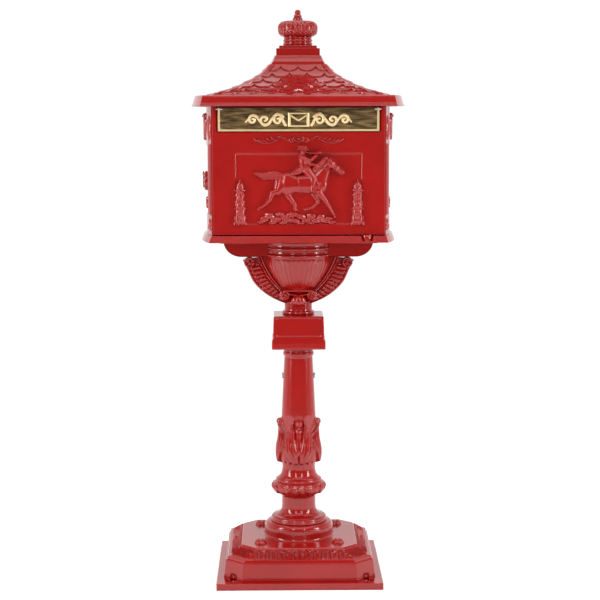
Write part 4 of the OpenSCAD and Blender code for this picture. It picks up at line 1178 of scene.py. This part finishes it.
def tower(x, z, centre):
    """A round turret with string courses, a gallery and a domed lantern."""
    u = np.abs(x - centre)
    outline = [(646, 13.0), (649.5, 13.0), (650.2, 11.6), (653, 11.2), (654, 9.6), (660, 9.2), (662, 8.2),
        (672, 7.8), (673, 9.2), (675.4, 9.2), (676.4, 7.6), (684, 7.2), (685, 8.6), (687, 8.6), (688, 7.0),
        (696, 6.8), (697, 8.4), (699, 8.4), (700, 6.8), (704, 6.6), (705, 9.0), (707.4, 9.4), (708.4, 6.4),
        (714, 6.2), (717, 4.8), (720, 2.6), (722, 1.4), (726, 0.9)]
    width = np.interp(z, *zip(*outline), left=0, right=0)
    width = np.where(z > 654, 1.18 * width, width)
    h = 8.0 * dome((u / np.maximum(width, 0.01)) ** 2) * (width > 0)
    h = h * (1 + 0.12 * np.cos(2 * np.pi * (z - 667) / 13)) * (0.55 + 0.45 * np.clip(width / 9, 0, 1))
    door = 1.2 * np.exp(-((u / 2.2) ** 4) - (((z - 664.5) / 4.0) ** 4))
    window = sum(0.9 * np.exp(-((u / 1.3) ** 4) - (((z - c) / 2.0) ** 4)) for c in (679.5, 691.5, 711))
    merlon = 0.7 * (np.cos(2 * np.pi * (x - centre) / 3.6) > 0) * (np.abs(z - 706.4) < 1.2)
    return np.maximum(h - (door + window) * (h > 2), 0) + merlon * (h > 1)


def leafy_scroll(x, z):
    """Ornament over the panel: paired scrolls round a bow, with long leaves outward."""
    h = np.zeros_like(x)
    long_leaf = curve([(31, 801.5), (38, 794), (48, 789.5), (60, 788.6), (70, 791), (78, 796.5)], 16)
    for u in (-x, x):
        h = highest(h, coil(u, z, (12.5, 794.5), 4.6, 1.3, 200, (1.9, 1.1), 3.2),
            chain(u, z, [(0, 790), (5, 792.5), (9.2, 796.5), (8.4, 799.4), (3, 799)],
            [1.7, 1.5, 1.3, 1.2, 0.8], 2.2), chain(u, z, curve([(17, 793), (27, 797.5), (33, 801),
            (40, 797)], 10), np.linspace(1.7, 1.0, 10), 2.1), chain(u, z, long_leaf,
            np.linspace(1.0, 1.6, 16) * 1.05, 2.2))
        for k in range(5):
            a, b = 40 + 7.5 * k, 793.4 - 1.5 * min(k, 2) + 0.9 * max(k - 2, 0)
            tip = (a + 9.5, b + 8.2 - 0.9 * k)
            bend = ((a + tip[0]) / 2 + 1.4, (b + tip[1]) / 2 - 0.8)
            h = np.maximum(h, chain(u, z, [(a, b), bend, tip], [1.0, 1.7, 0.6], 1.9))
    return np.maximum(h, disc(x, z, (0, 795.5), 2.4, 2.8))


def door_relief():
    """Horse and rider over rocks, two turrets and the scroll, as castings on the door."""
    fine = 0.62
    scene_part = relief_piece(
        "rider_relief", steps((-82, fine), (84, fine)), steps((646, fine), (790, fine)),
        lambda u, v: highest(horse(u, v), rider(u, v), rocks(u, v)), sunk_to_face)
    towers = [relief_piece("turret", steps((c - 14, 0.5), (c + 14, 0.5)), steps((646, 0.6), (727, 0.6)),
                           lambda u, v, c=c: tower(u, v, c), sunk_to_face) for c in (-103.0, 103.0)]
    scroll = relief_piece("scroll", steps((-82, 0.5), (82, 0.5)), steps((784, 0.5), (806, 0.5)),
        leafy_scroll, plain)
    return joined("door_relief", [scene_part, *towers, scroll])


def sunk_to_face(u, v):
    """Depth of the ground under the relief: the sunk panel, and the plain face above it."""
    return 1.6 * (1 - smooth_step(v, PANEL_TOP - 2.2, PANEL_TOP)) * (np.abs(u) < PANEL_HALF)


# ---------------------------------------------------------------- letter flap

def weave(x, z):
    """Uneven cells of a hammered ground, from -1 to 1."""
    return np.sin(x * 1.9 + 1.3 * np.sin(z * 1.1)) * np.sin(z * 2.1 + 1.7 * np.sin(x * 0.8))


def flap_height(x, z):
    """Rise of the flap's face over its ground, and the mask of its raised parts."""
    middle = 829.3
    border = np.minimum(FLAP_HIGH[0] - np.abs(x), z - FLAP_LOW[2])
    rim = 1.2 * (1 - smooth_step(border, 3.0, 4.0))
    hammer = 0.02 * (weave(x, z) + 0.6 * np.sin(x * 0.73 + z * 1.31) * np.sin(z * 0.9 - x * 0.41))
    frame_edge = np.maximum(np.abs(x) / 18.5, np.abs(z - middle) / 12.5)
    fold = np.abs(np.abs(x) * 0.66 - (z - middle + 1.6))
    ornament = highest(0 * x, 1.1 * bell(frame_edge - 0.88, 0.105, 6),
        1.1 * bell(fold, 1.5, 6) * (frame_edge < 0.95) * (z > middle - 2.4))
    stem = curve([(23, middle - 9.5), (36, middle + 10.5), (59, middle - 10.5), (80, middle + 9),
        (92, middle - 4)], 30)
    for u in (-x, x):
        for out, radius, start, turn in ((36, 10.2, 150, -1), (59, 10.2, 200, 1), (80, 8.6, 150, -1)):
            roll = coil(u, z, (out, middle), radius, 1.2, start, (2.6, 1.8), 1.25, turn)
            ornament = np.maximum(ornament, roll)
        ornament = np.maximum(ornament, chain(u, z, stem, np.linspace(2.3, 1.4, 30), 1.2))
    return highest(rim, ornament, hammer), np.clip(np.maximum(rim, ornament) / 0.9, 0, 1)


def build_flap():
    """Brass flap with a bright border, a hammered ground and a folded-letter emblem."""
    low, high = FLAP_LOW, FLAP_HIGH
    ground = low[1] + 0.8 + 1.1

    def raised(x, z):
        _, mask = flap_height(x, z)
        streaks = 0.05 * np.sin(x * 0.11 + 2.0 * np.sin(z * 0.35 + x * 0.021))
        return np.clip(0.2 + 0.01 * (0.5 + 0.5 * weave(x, z)) + 1.6 * streaks + mask, 0, 1)

    flap = slab("letter_flap_casting", steps((-high[0], 0.62), (high[0], 0.62)),
                steps((low[2], 0.5), (high[2], 0.5)), lambda x, z: xyz(x, ground - flap_height(x, z)[0], z),
                lambda x, z: xyz(x, high[1], z), body=FLAP, slot=BRASS, sharp=50, raised=raised)
    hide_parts("letter_flap")


# ---------------------------------------------------------------- CAD pieces that stay

# Bevel width of each CAD node that shows its edges
SOFT_EDGES = {"floor_tray": 0.9, "back_wall": 0.9, "roof_cap": 0.8, "door_hinge_lower": 0.4,
    "door_hinge_upper": 0.4, "keyhole_cover": 0.6, "door_catch": 0.4, "lock_cam": 0.3, "lock_housing": 0.4}


def finish_cad_nodes():
    """Gives each CAD node its finish, and rounds the edges of those that show."""
    slots = {row["node"]: row["material_slot"] for row in frame["record"]["subparts"]}
    for name, node in frame["nodes"].items():
        node.data.materials.clear()
        node.data.materials.append(MATERIALS[slots.get(name, COAT)])
        if name in SOFT_EDGES:
            soften(node, SOFT_EDGES[name])


# ---------------------------------------------------------------- studio

LENS, SENSOR = 97.2, 36.0
EYE = (-0.035, -2.943, 0.837)
PITCH, TURN, ROLL = 6.51, 0.755, 0.12


def build_camera():
    """Camera a little left of the middle, looking slightly down."""
    data = bpy.data.cameras.new("camera")
    data.lens, data.sensor_width = LENS, SENSOR
    camera = bpy.data.objects.new("camera", data)
    bpy.context.scene.collection.objects.link(camera)
    camera.location = EYE
    camera.rotation_euler = (math.radians(90 - PITCH), math.radians(ROLL), math.radians(-TURN))
    bpy.context.scene.camera = camera


def area_light(name, place, target, size, power):
    """Soft rectangular lamp that faces a target."""
    data = bpy.data.lights.new(name, "AREA")
    data.shape = "RECTANGLE"
    data.size, data.size_y = size
    data.energy = power
    lamp = bpy.data.objects.new(name, data)
    bpy.context.scene.collection.objects.link(lamp)
    lamp.location = place
    direction = np.array(target) - np.array(place)
    pitch = math.atan2(-direction[2], math.hypot(direction[0], direction[1]))
    yaw = math.atan2(direction[0], direction[1])
    lamp.rotation_euler = (math.pi / 2 - pitch, 0, -yaw)


def build_world():
    """White behind the object, dimmer in front of it and overhead, by direction alone."""
    world = bpy.data.worlds.new("studio")
    bpy.context.scene.world = world
    world.use_nodes = True
    nodes, links = world.node_tree.nodes, world.node_tree.links
    place = nodes.new("ShaderNodeTexCoord")
    parts = nodes.new("ShaderNodeSeparateXYZ")
    links.new(place.outputs["Generated"], parts.inputs["Vector"])
    behind = spread(nodes, links, parts.outputs["Y"], 0.15, 1.05, -0.35, 0.2, "SMOOTHSTEP")
    high = spread(nodes, links, parts.outputs["Z"], 1.0, 0.35, 0.35, 0.7, "SMOOTHSTEP")
    links.new(combine(nodes, links, "MULTIPLY", behind, high), nodes["Background"].inputs["Strength"])
    nodes["Background"].inputs["Color"].default_value = (1.0, 1.0, 1.0, 1.0)


def build_studio():
    """Round pale floor, world and soft lamps."""
    bpy.ops.mesh.primitive_circle_add(vertices=96, radius=2.4, fill_type="NGON", location=(0, 0, -0.0003))
    floor = bpy.context.object
    floor.name = "studio_floor"
    floor.data.materials.append(floor_material())
    build_world()
    for side, name in ((-1, "left"), (1, "right")):
        area_light("bank_" + name, (side * 0.8, -2.2, 1.5), (0, 0, 0.7), (0.16, 1.5), 12)
        area_light("side_" + name, (side * 2.0, -0.9, 1.2), (0, 0, 0.7), (0.4, 1.8), 40)
    area_light("front_high", (0, -2.25, 3.0), (0, 0, 0.86), (2.6, 0.7), 17)
    sky = bpy.data.lights.new("overhead", "SUN")
    sky.energy, sky.angle = 1.9, math.radians(70)
    overhead = bpy.data.objects.new("overhead", sky)
    overhead.rotation_euler = (math.radians(-8), 0, 0)
    bpy.context.collection.objects.link(overhead)
    view = bpy.context.scene.view_settings
    view.view_transform = "Standard"
    view.look = "None"


for build in (build_base, build_column, build_capital, build_bracket, build_walls, build_roof, build_finial,
        build_door, build_flap, finish_cad_nodes, build_camera, build_studio):
    build()
